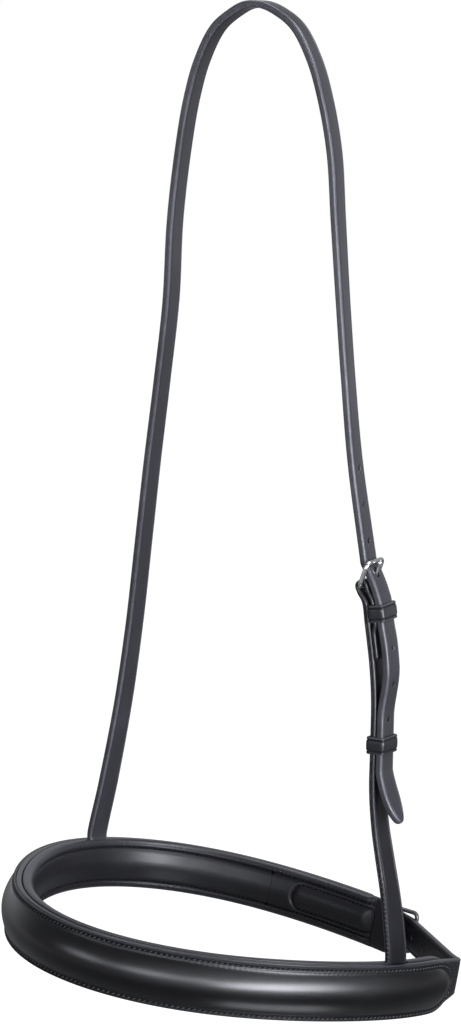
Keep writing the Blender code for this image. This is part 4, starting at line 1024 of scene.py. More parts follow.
def buckle(prefix, body, route, heel, sizes, strap_width, finish):
    """Frame and tongue of one buckle, on their own bodies."""
    place, *axes = buckle_axes(route, heel, sizes)
    axes = np.array(axes)
    half = 0.5 * strap_width + BUCKLE_PLAY + sizes["wire"]
    flat = round_corners(-half, half, 0.0, sizes["reach"], FRAME_CORNER, 160)
    thin = 1.0 - HEEL_THINNING * (1.0 - ease(flat[:, 1] / 2.0))
    line = place + flat[:, :1] * axes[0] + flat[:, 1:] * axes[1]
    frame_wire = tube(f"{prefix}_buckle_wire", line, axes[2], sizes["wire"] * thin, 1.0, finish, True)
    settle(frame_wire, f"{body}_frame", "steel", f"{prefix}_buckle_frame")

    radius = tongue_radius(sizes)
    turn = np.radians(np.linspace(*TAIL_ROLL, 40))
    length = sizes["reach"] + TONGUE_OVERHANG
    run = np.linspace(0.0, 1.0, 22)[1:]
    reach = np.r_[radius * np.cos(turn), length * run]
    rise = np.r_[radius * np.sin(turn), radius + 0.12 * np.sin(math.pi * run)]
    line = place + reach[:, None] * axes[1] + rise[:, None] * axes[2]
    rolled = np.ones(len(turn))
    nose = np.sqrt(np.clip((1.0 - run) * length / 1.1, 0.02, 1.0))
    thick = sizes["tongue"] * np.r_[0.98 * rolled, (0.98 - 0.2 * run) * nose]
    broad = np.r_[1.25 * rolled, 1.25 - 0.25 * ease(run * 4.0)]
    pin = tube(f"{prefix}_buckle_pin", line, axes[2], thick, broad, finish)
    settle(pin, f"{body}_tongue", "steel", f"{prefix}_buckle_tongue")


buckle("cheek", "cheek", CHEEK, CHEEK_HEEL, CHEEK_BUCKLE, STRAP_WIDTH, STEEL)
buckle("chin", "chin", CHIN, CHIN_HEEL, CHIN_BUCKLE, BILLET_HEIGHT, DARK_STEEL)


# %% [markdown]
# ## Keepers
#
# A keeper is a narrow leather strip closed into a loop, with a crease along each edge. The fixed ones are
# sewn into a fold and the runner slides. The strip's section is carried round a rectangle with rounded
# corners, so the creases and the rounded edges go all the way round.

# %% Keeper loops
KEEPER_CREASE_IN, KEEPER_CREASE_WIDTH, KEEPER_CREASE, KEEPER_SWELL = 1.5, 0.28, 0.4, 0.25


def keeper(name, route, at, low, high, half_width, body, node):
    """A strip section round a rounded rectangle between rises low and high on its inside."""
    half = 0.5 * KEEPER_LEATHER
    side = half_width + half
    flat = round_corners(-side, side, low - half, high + half, KEEPER_CORNER - half, 96)
    place, _, out, wide = route.frame(at)
    down = np.cross(wide, out)
    centre = place + flat[:, :1] * wide + flat[:, 1:] * out
    along = unit(np.roll(centre, -1, 0) - np.roll(centre, 1, 0))
    outward = np.cross(along, down)
    outward = outward * np.sign(np.sum(outward * (centre - centre.mean(0))))
    flat_half = 0.5 * KEEPER_TALL - half
    turn = np.radians(np.linspace(90.0, 270.0, 8))
    face = np.linspace(flat_half, -flat_half, 33)[1:-1]
    inset = 0.5 * KEEPER_TALL - np.abs(face)
    groove = bell(inset - KEEPER_CREASE_IN, KEEPER_CREASE_WIDTH)
    swell = KEEPER_SWELL * (1.0 - (face / flat_half) ** 2)
    plain = face[::-4]
    across = np.r_[face, half * np.cos(turn) - flat_half, plain, flat_half - half * np.cos(turn)]
    deep = np.r_[half - KEEPER_CREASE * groove + swell, half * np.sin(turn), 0 * plain - half]
    deep = np.r_[deep, -half * np.sin(turn)]
    worn_and_glint = np.r_[0.25 * (1.0 - groove), np.ones(8), 0 * plain, np.ones(8)]
    pressed = np.r_[groove, np.zeros(8), 0 * plain, np.zeros(8)]
    sections = centre[:, None] + across[None, :, None] * down + deep[None, :, None] * outward[:, None]
    loop = skin(name, sections, BAND_LEATHER, True, edge=worn_and_glint, crease=pressed)
    settle(loop, body, "black_leather", node)


keeper(
    "cheek_keeper_loop",
    CHEEK,
    CHEEK_HEEL + CHEEK_KEEPER_AT,
    0.5 * CHEEK_THICK + SEAT_GAP + KEEPER_LEATHER,
    cheek_over + 0.5 * HEAD_THICK + KEEPER_GAP,
    0.5 * STRAP_WIDTH + KEEPER_GAP,
    "straps",
    "cheek_fixed_keeper",
)
keeper(
    "cheek_runner_loop",
    CHEEK,
    CHEEK_HEEL + CHEEK_RUNNER_AT,
    -0.5 * CHEEK_THICK - SLIDE_GAP,
    runner_rise + 0.5 * HEAD_THICK + SLIDE_GAP,
    0.5 * STRAP_WIDTH + SLIDE_GAP,
    "cheek_runner",
    "cheek_runner_keeper",
)
for number, at in enumerate(CHIN_KEEPERS_AT, 1):
    keeper(
        f"chin_keeper_loop_{number}",
        CHIN,
        CHIN_HEEL + at,
        0.5 * BAND_THICK + SEAT_GAP + KEEPER_LEATHER,
        chin_over + 0.5 * BAND_THICK + KEEPER_GAP,
        0.5 * BILLET_HEIGHT + KEEPER_GAP,
        "straps",
        f"chin_keeper_{number}",
    )


# %% [markdown]
# ## Leather over padding
#
# The cover over the nose has a flat border that is sewn down, and a swell inside it. On a flat plan of the
# piece, how far a point is from the border's foot says how high the leather stands there, and a power of a
# sine gives the full, tight swell of leather pulled over felt. Each stitch pulls its own small dimple, so the
# foot of the swell is faintly scalloped. A cloth simulation would make looser folds than this firm, blocked
# leather has, so the swell is worked out directly.

# %% Outlines and rows of stitches on the band
STITCH_PITCH, OUTLINE_STEP = 2.6, 0.5


def rounding(from_end, length, drop):
    """How much a piece's half height falls towards its end, as an elliptical corner."""
    x = np.clip(1.0 - from_end / length, 0.0, 1.0)
    return drop * (1.0 - np.sqrt(1.0 - x * x))


def fine_turns(first, last, length, size):
    """Angles from first to last, closer together by a cosine along a length at each end."""
    turn = np.linspace(0.0, 0.5 * math.pi, 16)
    near = first + length / PER_DEGREE * (1.0 - np.cos(turn))
    far = last - length / PER_DEGREE * (1.0 - np.cos(turn[::-1]))
    count = int((far[0] - near[-1]) * PER_DEGREE / size)
    return np.r_[near, np.linspace(near[-1], far[0], count + 1)[1:-1], far]


def inset_outline(half_of, first, last, length, inset):
    """A closed plan line inside a piece's outline: along and up in millimetres, shifted in by inset."""
    turns = fine_turns(first, last, length, 1.0)
    half = half_of(turns)
    top, foot = np.c_[turns * PER_DEGREE, half], np.c_[turns * PER_DEGREE, -half]
    plan = np.vstack([top, foot[::-1], top[:1]])
    length_round = run_length(plan)
    plan = read_line(plan, length_round, np.arange(0.0, length_round[-1], OUTLINE_STEP))
    run = unit(np.roll(plan, -1, 0) - np.roll(plan, 1, 0))
    return plan + inset * np.c_[run[:, 1], -run[:, 0]]


def cover_half(angle):
    """Half height of the cover: the band's, less a margin, rounded off at both ends."""
    from_end = np.minimum(angle - COVER_ANGLES[0], COVER_ANGLES[1] - angle) * PER_DEGREE
    full = half_height(angle) - COVER_MARGIN
    return full - rounding(from_end, COVER_END, full - COVER_TIP)


def swell_profile(x):
    """Height share of the swell at a share x of the way from its foot, 0, to its middle, 1."""
    return np.sin(0.5 * math.pi * np.clip(x, 0.0, 1.0)) ** 0.8


print("cover:", round(float(2.0 * cover_half(270.0)), 1), "mm high over the nose")

# %% Raised leather
GROOVE_DEPTH, PINCH_DEPTH = 0.3, 0.1


def raised_leather(name, turns, half, base, finish):
    """A sewn border round a swell. Out is the base, the leather's thickness and the rise times the swell,
    less a groove along the stitches and a scallop beside them. The swell's own ends are rounded: its foot
    falls in by a quarter ellipse."""
    from_end = np.minimum(turns - turns[0], turns[-1] - turns) * PER_DEGREE
    inside = np.clip((from_end - COVER_BORDER) / COVER_END, 0.0, 1.0)
    foot = (half - COVER_BORDER) * np.sqrt(1.0 - (1.0 - inside) ** 2)
    along = run_length(ring_point(turns, base))
    share = np.r_[0.0, 0.006, 0.02, 0.05, np.linspace(0.09, 1.0, 30)]
    side = np.linspace(0.0, 1.0, 9)
    foot, half_col, inside = foot[:, None], half[:, None], inside[:, None]
    lip = np.minimum(0.5, 0.3 * half_col)
    round_up = np.radians(np.linspace(90.0, 0.0, 5))
    edge_up = half_col - lip + lip * np.sin(round_up)
    edge_out = COVER_THICK - lip + lip * np.cos(round_up)
    ledge_up = (half_col - lip) + (foot - (half_col - lip)) * side[1:]
    swell_up = foot * (1.0 - share[1:])
    up = np.hstack([edge_up, ledge_up, swell_up])
    climb = np.hstack([0 * edge_up, 0 * ledge_up, np.broadcast_to(swell_profile(share[1:]), swell_up.shape)])
    groove = bell(up - (half_col - 0.5 * COVER_BORDER), 0.5)
    scallop = 0.5 - 0.5 * np.cos(2.0 * math.pi * along[:, None] / STITCH_PITCH)
    pinch = bell(up - foot - 0.1, 0.8) * scallop
    leather_out = np.hstack([edge_out, COVER_THICK + 0 * ledge_up, COVER_THICK + 0 * swell_up])
    raised = leather_out + COVER_RISE * ease(inside * 1.5) * climb
    pressed = np.minimum(1.0, 0.3 * half_col) * (GROOVE_DEPTH * groove + PINCH_DEPTH * pinch)
    raised = raised - pressed * (leather_out >= COVER_THICK - 0.01)
    worn_and_glint = np.r_[np.ones(5), np.linspace(0.8, 0.0, 8), np.zeros(len(share) - 1)]
    worn_and_glint = np.r_[worn_and_glint, worn_and_glint[-2::-1], 0.0, 0.0]
    both_up = np.hstack([up, -up[:, -2::-1], -half_col, half_col])
    both_out = np.hstack([raised, raised[:, -2::-1], 0 * half_col, 0 * half_col])
    # The groove's mark goes to the finish as a crease, which paints the leather darker there: painted shade in
    # the groove.
    dark = np.hstack([groove, groove[:, -2::-1], 0 * half_col, 0 * half_col])
    shape = both_up.shape
    points = ring_point(np.broadcast_to(turns[:, None], shape), base + both_out, both_up)
    return skin(name, points, finish, edge=worn_and_glint, crease=dark)


turns = fine_turns(*COVER_ANGLES, COVER_END, 0.62)
cover = raised_leather(
    "raised_cover_leather", turns, cover_half(turns), BAND_THICK + SEAT_GAP, COVER_LEATHER
)
settle(cover, "straps", "glazed_leather", "raised_cover", "raised_core")

# %% [markdown]
# ## The lining
#
# Soft leather is wrapped round foam and sewn through near both edges, so it has three parts: a rolled edge
# at the top and bottom, and a full, crowned face between the two seams. It could be puffed up as cloth, but
# the real one is drawn tight. So its section is a smooth line through a few knots, given as a depth share
# and a distance in from the edge, with its dip at the seam. Waves along each seam stand for the dimples of
# the stitches, the slack between them and the small gathers in the rolled edge. The lining's first half
# millimetre runs on behind the end of the chin pad, so that the joint between them stays shut.

# %% Section of the lining
LINING_SEAM, SEAM_SHARE, LINING_PITCH, SECTION_REACH = 4.5, 0.64, 2.8, 14.0
LINING_SHARES = (0.04, 0.08, 0.2, 0.42, 0.62, 0.76, 0.83, 0.79, SEAM_SHARE, 0.73, 0.81, 0.9, 0.965, 0.985)
LINING_INSETS = (0.85, 0.3, 0.02, 0.0, 0.5, 1.6, 2.8, 3.8, LINING_SEAM, 5.1, 6.4, 9.4, 12.0, 13.5)
LINING_KNOTS = np.c_[LINING_SHARES, LINING_INSETS]
DIMPLE, GATHER, GATHER_IN = 0.1, 0.14, 2.4


def lining_shape(angle):
    """Half height and depth of the lining at ring angles."""
    from_last = (LINING_ANGLES[1] - angle) * PER_DEGREE
    full = half_height(np.maximum(angle, CHIN_TAPER[1])) + LINING_PROUD
    half = full - rounding(from_last, LINING_END, full - LINING_EDGE)
    return half, LINING_DEPTH * (0.45 + 0.55 * ease(from_last / LINING_END))


def lined_face(turns, fineness):
    """Rows of out, up and marks over the lining's section: the seam's dimples and slack come from where
    each station is along the seam."""
    half, depth = (values[:, None] for values in lining_shape(turns))
    knots, _ = through(LINING_KNOTS * (LINING_DEPTH, 1.0), LINING_KNOTS, fineness)
    from_edge = knots[:, 1]
    along = (turns * PER_DEGREE)[:, None]
    # The seam's mark is read as a crease, so the leather is painted darker along it: painted shade in the
    # seam's groove.
    seam, beside_seam = bell(from_edge - LINING_SEAM, 0.5), bell(from_edge - LINING_SEAM, 1.6)
    pull = 0.5 - 0.5 * np.cos(2.0 * math.pi * along / LINING_PITCH)
    slack = 0.5 + 0.5 * np.sin(along * 0.31 + 2.0 * np.sin(along * 0.047))
    wrinkle = DIMPLE * beside_seam * pull * (0.4 + 0.6 * slack)
    gather = bell(from_edge - GATHER_IN, 1.3) * np.sin(along * 2.1 + 1.3 * np.sin(along * 0.53))
    wrinkle = wrinkle + GATHER * (gather * (0.5 + 0.5 * np.sin(along * 0.19)))
    up = half - from_edge / SECTION_REACH * half
    out = -SEAT_GAP - (knots[:, 0] / LINING_DEPTH * depth - SEAT_GAP) + wrinkle
    # The rolled edge's mark is read as an edge, so the roll goes paler: partly wear, partly a painted
    # highlight along the roll.
    rolled = 0.5 * bell(from_edge - 0.6, 1.4)
    both = [np.hstack([up, -up[:, -2::-1]]), np.hstack([out, out[:, -2::-1]])]
    return *both, np.r_[rolled, rolled[-2::-1]], np.r_[seam, seam[-2::-1]]


PAD_OVERLAP, OVERLAP_BEHIND = 0.3, 0.04
seam_angle = 0.5 * (LINING_ANGLES[0] + PAD_ANGLES[1])
turns = fine_turns(seam_angle - PAD_OVERLAP, LINING_ANGLES[1], LINING_END, 0.75)
up, out, rolled, seam = lined_face(turns, 0.32)
out = out + OVERLAP_BEHIND * (turns <= seam_angle)[:, None]
lining = skin(
    "nose_lining_leather",
    ring_point(np.broadcast_to(turns[:, None], up.shape), out, up),
    LINING_LEATHER,
    edge=rolled,
    crease=seam,
)
print("lining:", len(turns), "sections of", up.shape[1], "points, before its pockets are cut")

# %% [markdown]
# ## The chin pad
#
# The pad under the chin carries the lining's section on, with an oval pressed into its face. It could be a
# padded piece of its own shape, but the real one looks cut from the lining's leather, so both share one
# formula. The oval is a capsule on the flat plan, and a point's distance to it says how deep the groove
# round it is there, and how full the pillow inside it. Near the buckle the capsule reaches past the end of
# the pad, so the oval is open there. The pad is skived towards that end: what stands clear of its back is
# drawn in towards it, until the two meet without a step.

# %% Chin pad with its pressed oval
PAD_HALF_UP = 0.5 * BAND_HEIGHT + LINING_PROUD
OVAL_HALF_UP = PAD_HALF_UP - PAD_BORDER
OVAL_HALF_RUN = 0.5 * (OVAL_ANGLES[1] - OVAL_ANGLES[0]) * PER_DEGREE
OVAL_DEPTH, OVAL_GROOVE, PILLOW_RISE, TUCK_RUN = 4.9, 1.5, 2.1, 7.0
oval_middle = 0.5 * sum(OVAL_ANGLES)


def to_oval(turns, up):
    """Distance outside the capsule on the pad's plan, less than 0 inside it."""
    run = np.maximum(np.abs(turns - oval_middle) * PER_DEGREE - OVAL_HALF_RUN + OVAL_HALF_UP, 0.0)
    return np.hypot(run, up) - OVAL_HALF_UP


turns = np.linspace(PAD_COVER_FIRST, seam_angle, 176)
up, out, rolled, seam = lined_face(turns, 0.26)
away = to_oval(turns[:, None], up)
groove = bell(away, 0.75)
inside = np.clip(-away / OVAL_HALF_UP, 0.0, 1.0)
pillow = -SEAT_GAP - OVAL_DEPTH - PILLOW_RISE * np.sin(0.5 * math.pi * inside) ** 0.7
out = np.where(away < 0.0, np.maximum(out, pillow), out + OVAL_GROOVE * groove)
tucked = 0.12 + 0.88 * ease((turns - PAD_COVER_FIRST) * PER_DEGREE / TUCK_RUN)[:, None]
under = -SEAT_GAP - PAD_BACK - 0.15
out = np.where(out < under, under + (out - under) * tucked, out)
half = lining_shape(turns)[0][:, None]
under_up = half * np.linspace(-1.0, 1.0, 13) * np.r_[0.93, np.full(11, 0.84), 0.93]
under_out = np.r_[-0.8, np.full(11, under + 0.05), -0.8]
up, out = np.hstack([up, under_up]), np.hstack([out, np.broadcast_to(under_out, under_up.shape)])
# The edge mark also runs as a pale ring just outside the oval's groove: a painted highlight on its rim. The
# groove and seams are marked as creases and painted darker: painted shade.
pad = skin(
    "chin_pad_leather",
    ring_point(np.broadcast_to(turns[:, None], up.shape), out, up),
    LINING_LEATHER,
    edge=np.hstack([np.maximum(rolled, 0.5 * bell(away - 1.3, 0.6)), 0.0 * under_up]),
    crease=np.hstack([np.maximum(seam, groove), 0.0 * under_up]),
)
settle(pad, "straps", "soft_leather", "chin_pad_cover", "chin_pad_filling")

# %% [markdown]
# ## The back of the chin pad
#
# A plate of firm leather carries the pad and runs on under the buckle, so that no metal lies on the horse's
# skin. It is one flat section with rounded edges carried along the ring. It is thinned where the buckle's
# fold lies on it, and set in a little behind the pad, so that its edge doesn't show round the soft leather.

# %% The chin pad's flat back
BACK_EDGE, BACK_SET_IN = 0.7, 2.7
turns = fine_turns(*PAD_ANGLES, PAD_CORNER, 0.8)
half = PAD_HALF_UP - rounding((turns - PAD_ANGLES[0]) * PER_DEGREE, PAD_CORNER, PAD_CORNER)
half = (half - BACK_SET_IN * ease((turns - PAD_COVER_FIRST) / 0.6))[:, None]
skived = PAD_SKIVE * (1.0 - ease((turns - PAD_SKIVE_ANGLES[0]) / np.ptp(PAD_SKIVE_ANGLES)))[:, None]
corner_turn = np.radians(np.linspace(90.0, 0.0, 5))
face_up = np.hstack([half - BACK_EDGE + BACK_EDGE * np.sin(corner_turn), half * np.linspace(0.8, 0.0, 5)])
face_up = np.hstack([face_up, -face_up[:, -2::-1]])
fall = np.r_[BACK_EDGE * np.cos(corner_turn) - BACK_EDGE, np.zeros(5)]
fall = np.r_[fall, fall[-2::-1]]
up = np.hstack([face_up, face_up[:, ::-1]])
out = np.hstack([-SEAT_GAP - skived + fall, np.broadcast_to(-SEAT_GAP - PAD_BACK - fall, face_up.shape)])
worn_and_glint = np.exp(-((half - np.abs(up)) / 0.5))
pad_back = skin(
    "chin_pad_back_leather",
    ring_point(np.broadcast_to(turns[:, None], up.shape), out, up),
    BAND_LEATHER,
    edge=worn_and_glint,
    crease=0.0,
)
settle(pad_back, "straps", "black_leather", "chin_pad_back")


# %% [markdown]
# ## Pockets
#
# The head strap and the cheek strap go down between the band and its lining, where they are sewn in. The
# lining would run through them there, so a rounded box round each strap's end is taken out of it. A dent in
# the lining's own formula would do the same, but it would need much finer rows of points all the way round.

# %% Pockets for the strap ends
def strap_pocket(points, angle, thick):
    """A rounded box round a strap end, open towards the band, that its pocket takes out of the lining."""
    _, top, end = points
    direction = unit(end - top)
    outward = ring_normal(angle)
    outward = unit(outward - direction * np.dot(outward, direction))
    wide = np.cross(direction, outward)
    start = top - 2.0 * POCKET_RISE * direction
    middle = start + np.outer(np.linspace(0.0, 1.0, 4), end + SEAT_GAP * direction - start) + thick * outward
    turn = np.linspace(0.0, 2.0 * math.pi, 32, endpoint=False)
    half_wide, half_deep = 0.5 * STRAP_WIDTH + SEAT_GAP, 1.5 * thick + SEAT_GAP
    across, deep = half_wide * squared(np.cos(turn), 0.3), half_deep * squared(np.sin(turn), 0.3)
    return middle[:, None] + (across[:, None] * wide + deep[:, None] * outward)[None]


pockets = [
    strap_pocket(left_pocket, LEFT_POCKET_ANGLE, HEAD_THICK),
    strap_pocket(right_pocket, RIGHT_POCKET_ANGLE, CHEEK_THICK),
]
cut_away(lining, pockets)
settle(lining, "straps", "soft_leather", "nose_lining", "nose_padding")

# %% [markdown]
# ## Thread
#
# Saddle stitching leans: each stitch goes in a little above the line and comes out a little below it, with
# both ends pulled into the leather. One bead of 24 faces, arched along its length, stands for a stitch, and
# a whole row is that bead placed at even distances along a line in one go.

# %% Rows of stitches
def stitches(
    name, line, out, looped=False, gap=STITCH_PITCH, length=2.0, radius=0.3, lean=0.5, finish=THREAD
):
    """Beads at even distances: place plus x along, y sideways and z outward, each turned by its lean."""
    line, out = (np.vstack([v, v[:1]]) if looped else v for v in (line, out))
    run = run_length(line)
    at = (np.arange(round(run[-1] / gap)) + 0.5) * run[-1] / round(run[-1] / gap)
    along = unit(np.gradient(line, run, axis=0))
    place, ahead, up = (read_line(v, run, at) for v in (line, along, out))
    up = unit(up - ahead * np.sum(up * ahead, -1, keepdims=True))
    lean = lean + 0.05 * np.sin(7.3 * np.arange(len(at)))[:, None]
    ahead = np.cos(lean) * ahead + np.sin(lean) * np.cross(up, ahead)
    turn = np.linspace(0.0, 2.0 * math.pi, 6, endpoint=False)
    x, size = np.array([-0.36, 0.0, 0.36]) * length, np.array([0.8, 1.0, 0.8]) * radius
    arch = radius * np.array([-0.1, 0.45, -0.1])
    cos, sin = size[:, None] * np.cos(turn), size[:, None] * np.sin(turn)
    rings = [x[:, None] + 0 * turn, cos, sin + arch[:, None]]
    ends = [[-0.5 * length, 0.0, -1.2 * radius], [0.5 * length, 0.0, -1.2 * radius]]
    bead = np.vstack([np.stack(rings, -1).reshape(-1, 3), ends])
    j = np.arange(6)
    k = (j + 1) % 6
    quads = [np.stack([s + j, s + k, s + 6 + k, s + 6 + j], -1) for s in (0, 6)]
    fans = [np.stack([k, j, 18 + 0 * j], -1), np.stack([12 + j, 12 + k, 19 + 0 * j], -1)]
    quads, fans = face_outward(bead, np.vstack(quads), np.vstack(fans))
    side = np.cross(up, ahead)
    points = place[:, None] + bead[:, :1] * ahead[:, None] + bead[:, 1:2] * side[:, None]
    points = points + bead[:, 2:] * up[:, None]
    first = 20 * np.arange(len(at))[:, None, None]
    faces = (quads + first).reshape(-1, 4).tolist() + (fans + first).reshape(-1, 3).tolist()
    row = new_mesh(name, points.reshape(-1, 3), faces, finish)
    return settle(row, "straps", "black_leather")


def on_ring(plan, out):
    """Places and outward directions of a plan line on the band: along and up at a distance out."""
    angle = plan[:, 0] / PER_DEGREE
    return ring_point(angle, out, plan[:, 1]), ring_normal(angle)


plan = inset_outline(cover_half, *COVER_ANGLES, COVER_END, 0.5 * COVER_BORDER)
stitches("cover_stitches", *on_ring(plan, BAND_THICK + SEAT_GAP + COVER_THICK - 0.2), looped=True)

# The row round the oval: up one side, round its closed end and back, open towards the buckle.
turn = np.linspace(-0.5 * math.pi, 0.5 * math.pi, 90)
reach = OVAL_HALF_UP + 0.2
bend_at = OVAL_ANGLES[1] * PER_DEGREE - OVAL_HALF_UP
straight = np.linspace((PAD_COVER_FIRST + 3.4) * PER_DEGREE, bend_at, 80)[:-1]
plan = np.c_[bend_at + reach * np.cos(turn), reach * np.sin(turn)]
side = np.full_like(straight, reach)
plan = np.vstack([np.c_[straight, -side], plan, np.c_[straight, side][::-1]])
line, out = on_ring(plan, -SEAT_GAP - OVAL_DEPTH)
stitches("chin_pad_stitches", line, -out, gap=LINING_PITCH, radius=0.22, finish=SHADED_LINING_THREAD)

turns = np.arange(PAD_COVER_FIRST + 0.6, LINING_ANGLES[1] - 7.0, 0.25)
seam_half, seam_depth = lining_shape(turns)
for side, row in ((1.0, "top"), (-1.0, "bottom")):
    line = ring_point(turns, -SEAM_SHARE * seam_depth, side * (1.0 - LINING_SEAM / SECTION_REACH) * seam_half)
    sewn = {"gap": LINING_PITCH, "length": 1.7, "radius": 0.2, "finish": SHADED_LINING_THREAD}
    stitches(f"lining_{row}_stitches", line, -ring_normal(turns), **sewn)

FOLD_ROW_START, FOLD_ROW_IN, EDGE_ROW = 7.0, 2.4, (66.0, 8.0)
at = CHEEK_HEEL + np.arange(FOLD_ROW_START, CHEEK_TURN_END, ROUTE_STEP)
place, _, out, wide = CHEEK.frame(at)
for side, row in ((1.0, "front"), (-1.0, "rear")):
    line = place - 0.5 * CHEEK_THICK * out + side * (0.5 * STRAP_WIDTH - FOLD_ROW_IN) * wide
    stitches(f"cheek_fold_{row}_stitches", line, -out, gap=2.9, length=2.2)

# Just above the band the cheek strap is also sewn along its edge.
at = np.arange(CHEEK.length[-1] - EDGE_ROW[0], CHEEK.length[-1] - EDGE_ROW[1], ROUTE_STEP)
place, _, out, wide = CHEEK.frame(at)
line = place + 0.5 * CHEEK_THICK * out * 0.72 + (0.5 * STRAP_WIDTH - 0.12) * wide
stitches("cheek_edge_stitches", line, unit(out + wide), gap=2.4, length=1.9, radius=0.28, lean=0.9)

# %% [markdown]
# ## The stage
#
# The piece hangs, so the pale floor lies well below it and only takes a soft shadow. The white round the
# object comes from Is Camera Ray in the world and on the floor. Black polished leather is drawn by what it
# mirrors, so glossy rays also see two soft patches in the world, a high one towards the horse's left and a
# low one behind. Other rays don't see them, so they add gloss and leave the leather's own colour alone.

# %% Floor and world
FLOOR_Z, FLOOR_TONE, FLOOR_SIDES = -0.88, 0.3, 96
COOL, WHITE = (0.91, 0.93, 1.0), (1.0, 1.0, 1.0)


def seen(place):
    """1 on camera rays, and 1 on glossy and transmission rays: both 0 on the rays that light the object."""
    path = place.tree.nodes.new("ShaderNodeLightPath")
    kinds = ("Camera", "Glossy", "Transmission")
    camera_ray, glossy, through_glass = (Socket(place.tree, path.outputs[f"Is {kind} Ray"]) for kind in kinds)
    return camera_ray, (glossy + through_glass).clear()


disc = np.linspace(0.0, 2.0 * math.pi, FLOOR_SIDES, endpoint=False)
rim = np.stack([np.cos(disc), np.sin(disc), 0 * disc], -1)
floor_points = np.vstack([rim * 400.0, rim * 1500.0, rim * 6000.0, [[0.0, 0.0, 0.0]]])
floor_points[:, 2] = FLOOR_Z / MM
j = np.arange(FLOOR_SIDES)
k = (j + 1) % FLOOR_SIDES
rings = [np.stack([s + j, s + FLOOR_SIDES + j, s + FLOOR_SIDES + k, s + k], -1) for s in (0, FLOOR_SIDES)]
floor_faces = np.vstack(rings).tolist() + np.stack([3 * FLOOR_SIDES + 0 * j, j, k], -1).tolist()

floor_finish, floor_shader, floor_place = new_finish("pale_floor")
floor_shader.inputs["Base Color"].default_value = (FLOOR_TONE, FLOOR_TONE, FLOOR_TONE, 1.0)
floor_shader.inputs["Roughness"].default_value = 0.8
floor_shader.inputs["Emission Color"].default_value = (*WHITE, 1.0)
away = floor_place.node("ShaderNodeVectorMath", {"operation": "LENGTH"}, {0: floor_place}, 1)
looked_at, mirrored = seen(floor_place)
white = 0.65 + 0.35 * ((away - 0.7) * 2.5).clear()
far = ((away - 1.2) * 0.5).clear()
connect(looked_at * white + mirrored * (0.25 * far), floor_shader, "Emission Strength")
floor = new_mesh("floor", floor_points, floor_faces, floor_finish)
print("floor:", FLOOR_Z, "m, with", len(floor_faces), "faces")

AMBIENT = 0.15
TOWARDS_LEFT, TOWARDS_BACK = (0.966, -0.259, 0.0), (-0.707, 0.707, 0.0)
world = bpy.data.worlds.new("studio")
bpy.context.scene.world = world
world.use_nodes = True
backdrop = world.node_tree.nodes["Background"]
direction = Socket(world.node_tree, world.node_tree.nodes.new("ShaderNodeTexCoord").outputs["Generated"])
height = direction.node("ShaderNodeSeparateXYZ", None, {"Vector": direction}, 2)


def towards(way):
    """How nearly a ray runs a way: the cosine between them."""
    return direction.node("ShaderNodeVectorMath", {"operation": "DOT_PRODUCT"}, {0: direction, 1: way}, 1)


looked_at, mirrored = seen(direction)
window = (1.0 - ((height - 0.3) / 0.55) ** 2).clear()
window = window * (1.6 * towards(TOWARDS_LEFT) - 0.5).clear()
behind = (1.0 - ((height - 0.05) / 0.35) ** 2).clear()
behind = behind * (1.6 * towards(TOWARDS_BACK) - 0.6).clear()
connect(looked_at.tint(COOL, WHITE), backdrop, "Color")
patches = mirrored * (0.8 * window + 0.5 * behind)
connect(AMBIENT + (1.0 - AMBIENT) * looked_at + patches, backdrop, "Strength")


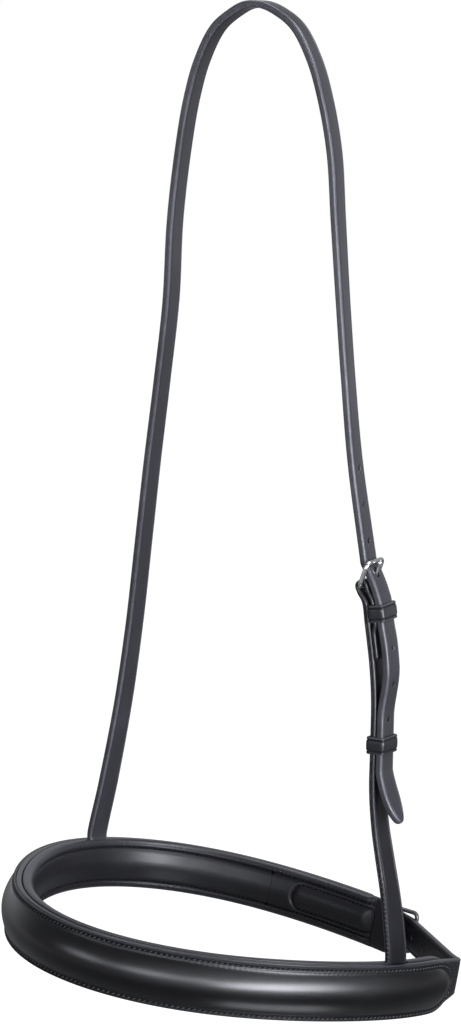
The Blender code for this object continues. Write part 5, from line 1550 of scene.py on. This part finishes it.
# %% [markdown]
# ## The lamps and the camera
#
# Each lamp is placed where the leather would mirror it. The key is a long, low one at the camera's right: it
# draws the long light along the swell of the cover. Two more long ones at the left carry that light on round
# the cover. A narrow one picks out the upper head strap, two soft ones from above and behind open the crown
# and the inside of the ring, and a small one close below stands for what a pale table throws back.
# A lamp's spread is how wide its beam opens, and it keeps each lamp to its own part of the piece. The camera
# stands where the photographer did, worked out from the shape of the ring in the photo.

# %% Lamps and camera
def lamp(name, azimuth, elevation, distance, size, power, aim=(0.0, 0.0, -0.36), spread=180.0):
    """A soft lamp, wide by tall in metres, placed by its direction from the object and turned towards it."""
    a, e = math.radians(azimuth), math.radians(elevation)
    back = np.array([math.sin(a) * math.cos(e), -math.cos(a) * math.cos(e), math.sin(e)])
    data = bpy.data.lights.new(name, "AREA")
    data.shape, data.energy, data.color = "RECTANGLE", power, COOL
    data.size, data.size_y = size
    data.spread = math.radians(spread)
    light = bpy.data.objects.new(name, data)
    light.location = np.array(aim) + distance * back
    light.rotation_euler = Vector(back).to_track_quat("Z", "Y").to_euler()
    light.visible_camera = False
    bpy.context.scene.collection.objects.link(light)


lamp("key", 87.0, 5.5, 1.35, (1.85, 0.36), 4.3, spread=58.0)
lamp("high", 58.0, 10.0, 1.3, (0.6, 0.4), 0.4, (0.03, 0.0, -0.1), spread=22.0)
lamp("overhead", -120.0, 68.0, 1.1, (0.9, 0.9), 1.1, (-0.04, 0.0, -0.45), spread=60.0)
lamp("left", 28.0, 14.0, 1.6, (1.7, 0.34), 1.1, spread=62.0)
lamp("far_left", -16.0, 13.0, 1.6, (0.9, 0.34), 0.22, spread=44.0)
lamp("top", 130.0, 45.0, 1.0, (0.6, 0.6), 1.5, (0.0, 0.0, -0.1), spread=60.0)
lamp("board", 80.0, -50.0, 0.36, (0.24, 0.1), 0.05, (0.07, -0.06, -0.48), spread=90.0)

camera_data = bpy.data.cameras.new("camera")
camera_data.lens = 71.15
camera_data.sensor_width = 36.0
camera = bpy.data.objects.new("camera", camera_data)
ahead = Vector((-0.6890, 0.6890, -0.2250))
camera.location = (0.6871, -0.7049, -0.0167)
camera.rotation_euler = ahead.to_track_quat("-Z", "Y").to_euler()
bpy.context.scene.collection.objects.link(camera)
bpy.context.scene.camera = camera
bpy.context.scene.view_settings.view_transform = "Standard"
print("lamps:", len(bpy.data.lights), "and a camera of", camera_data.lens, "mm")
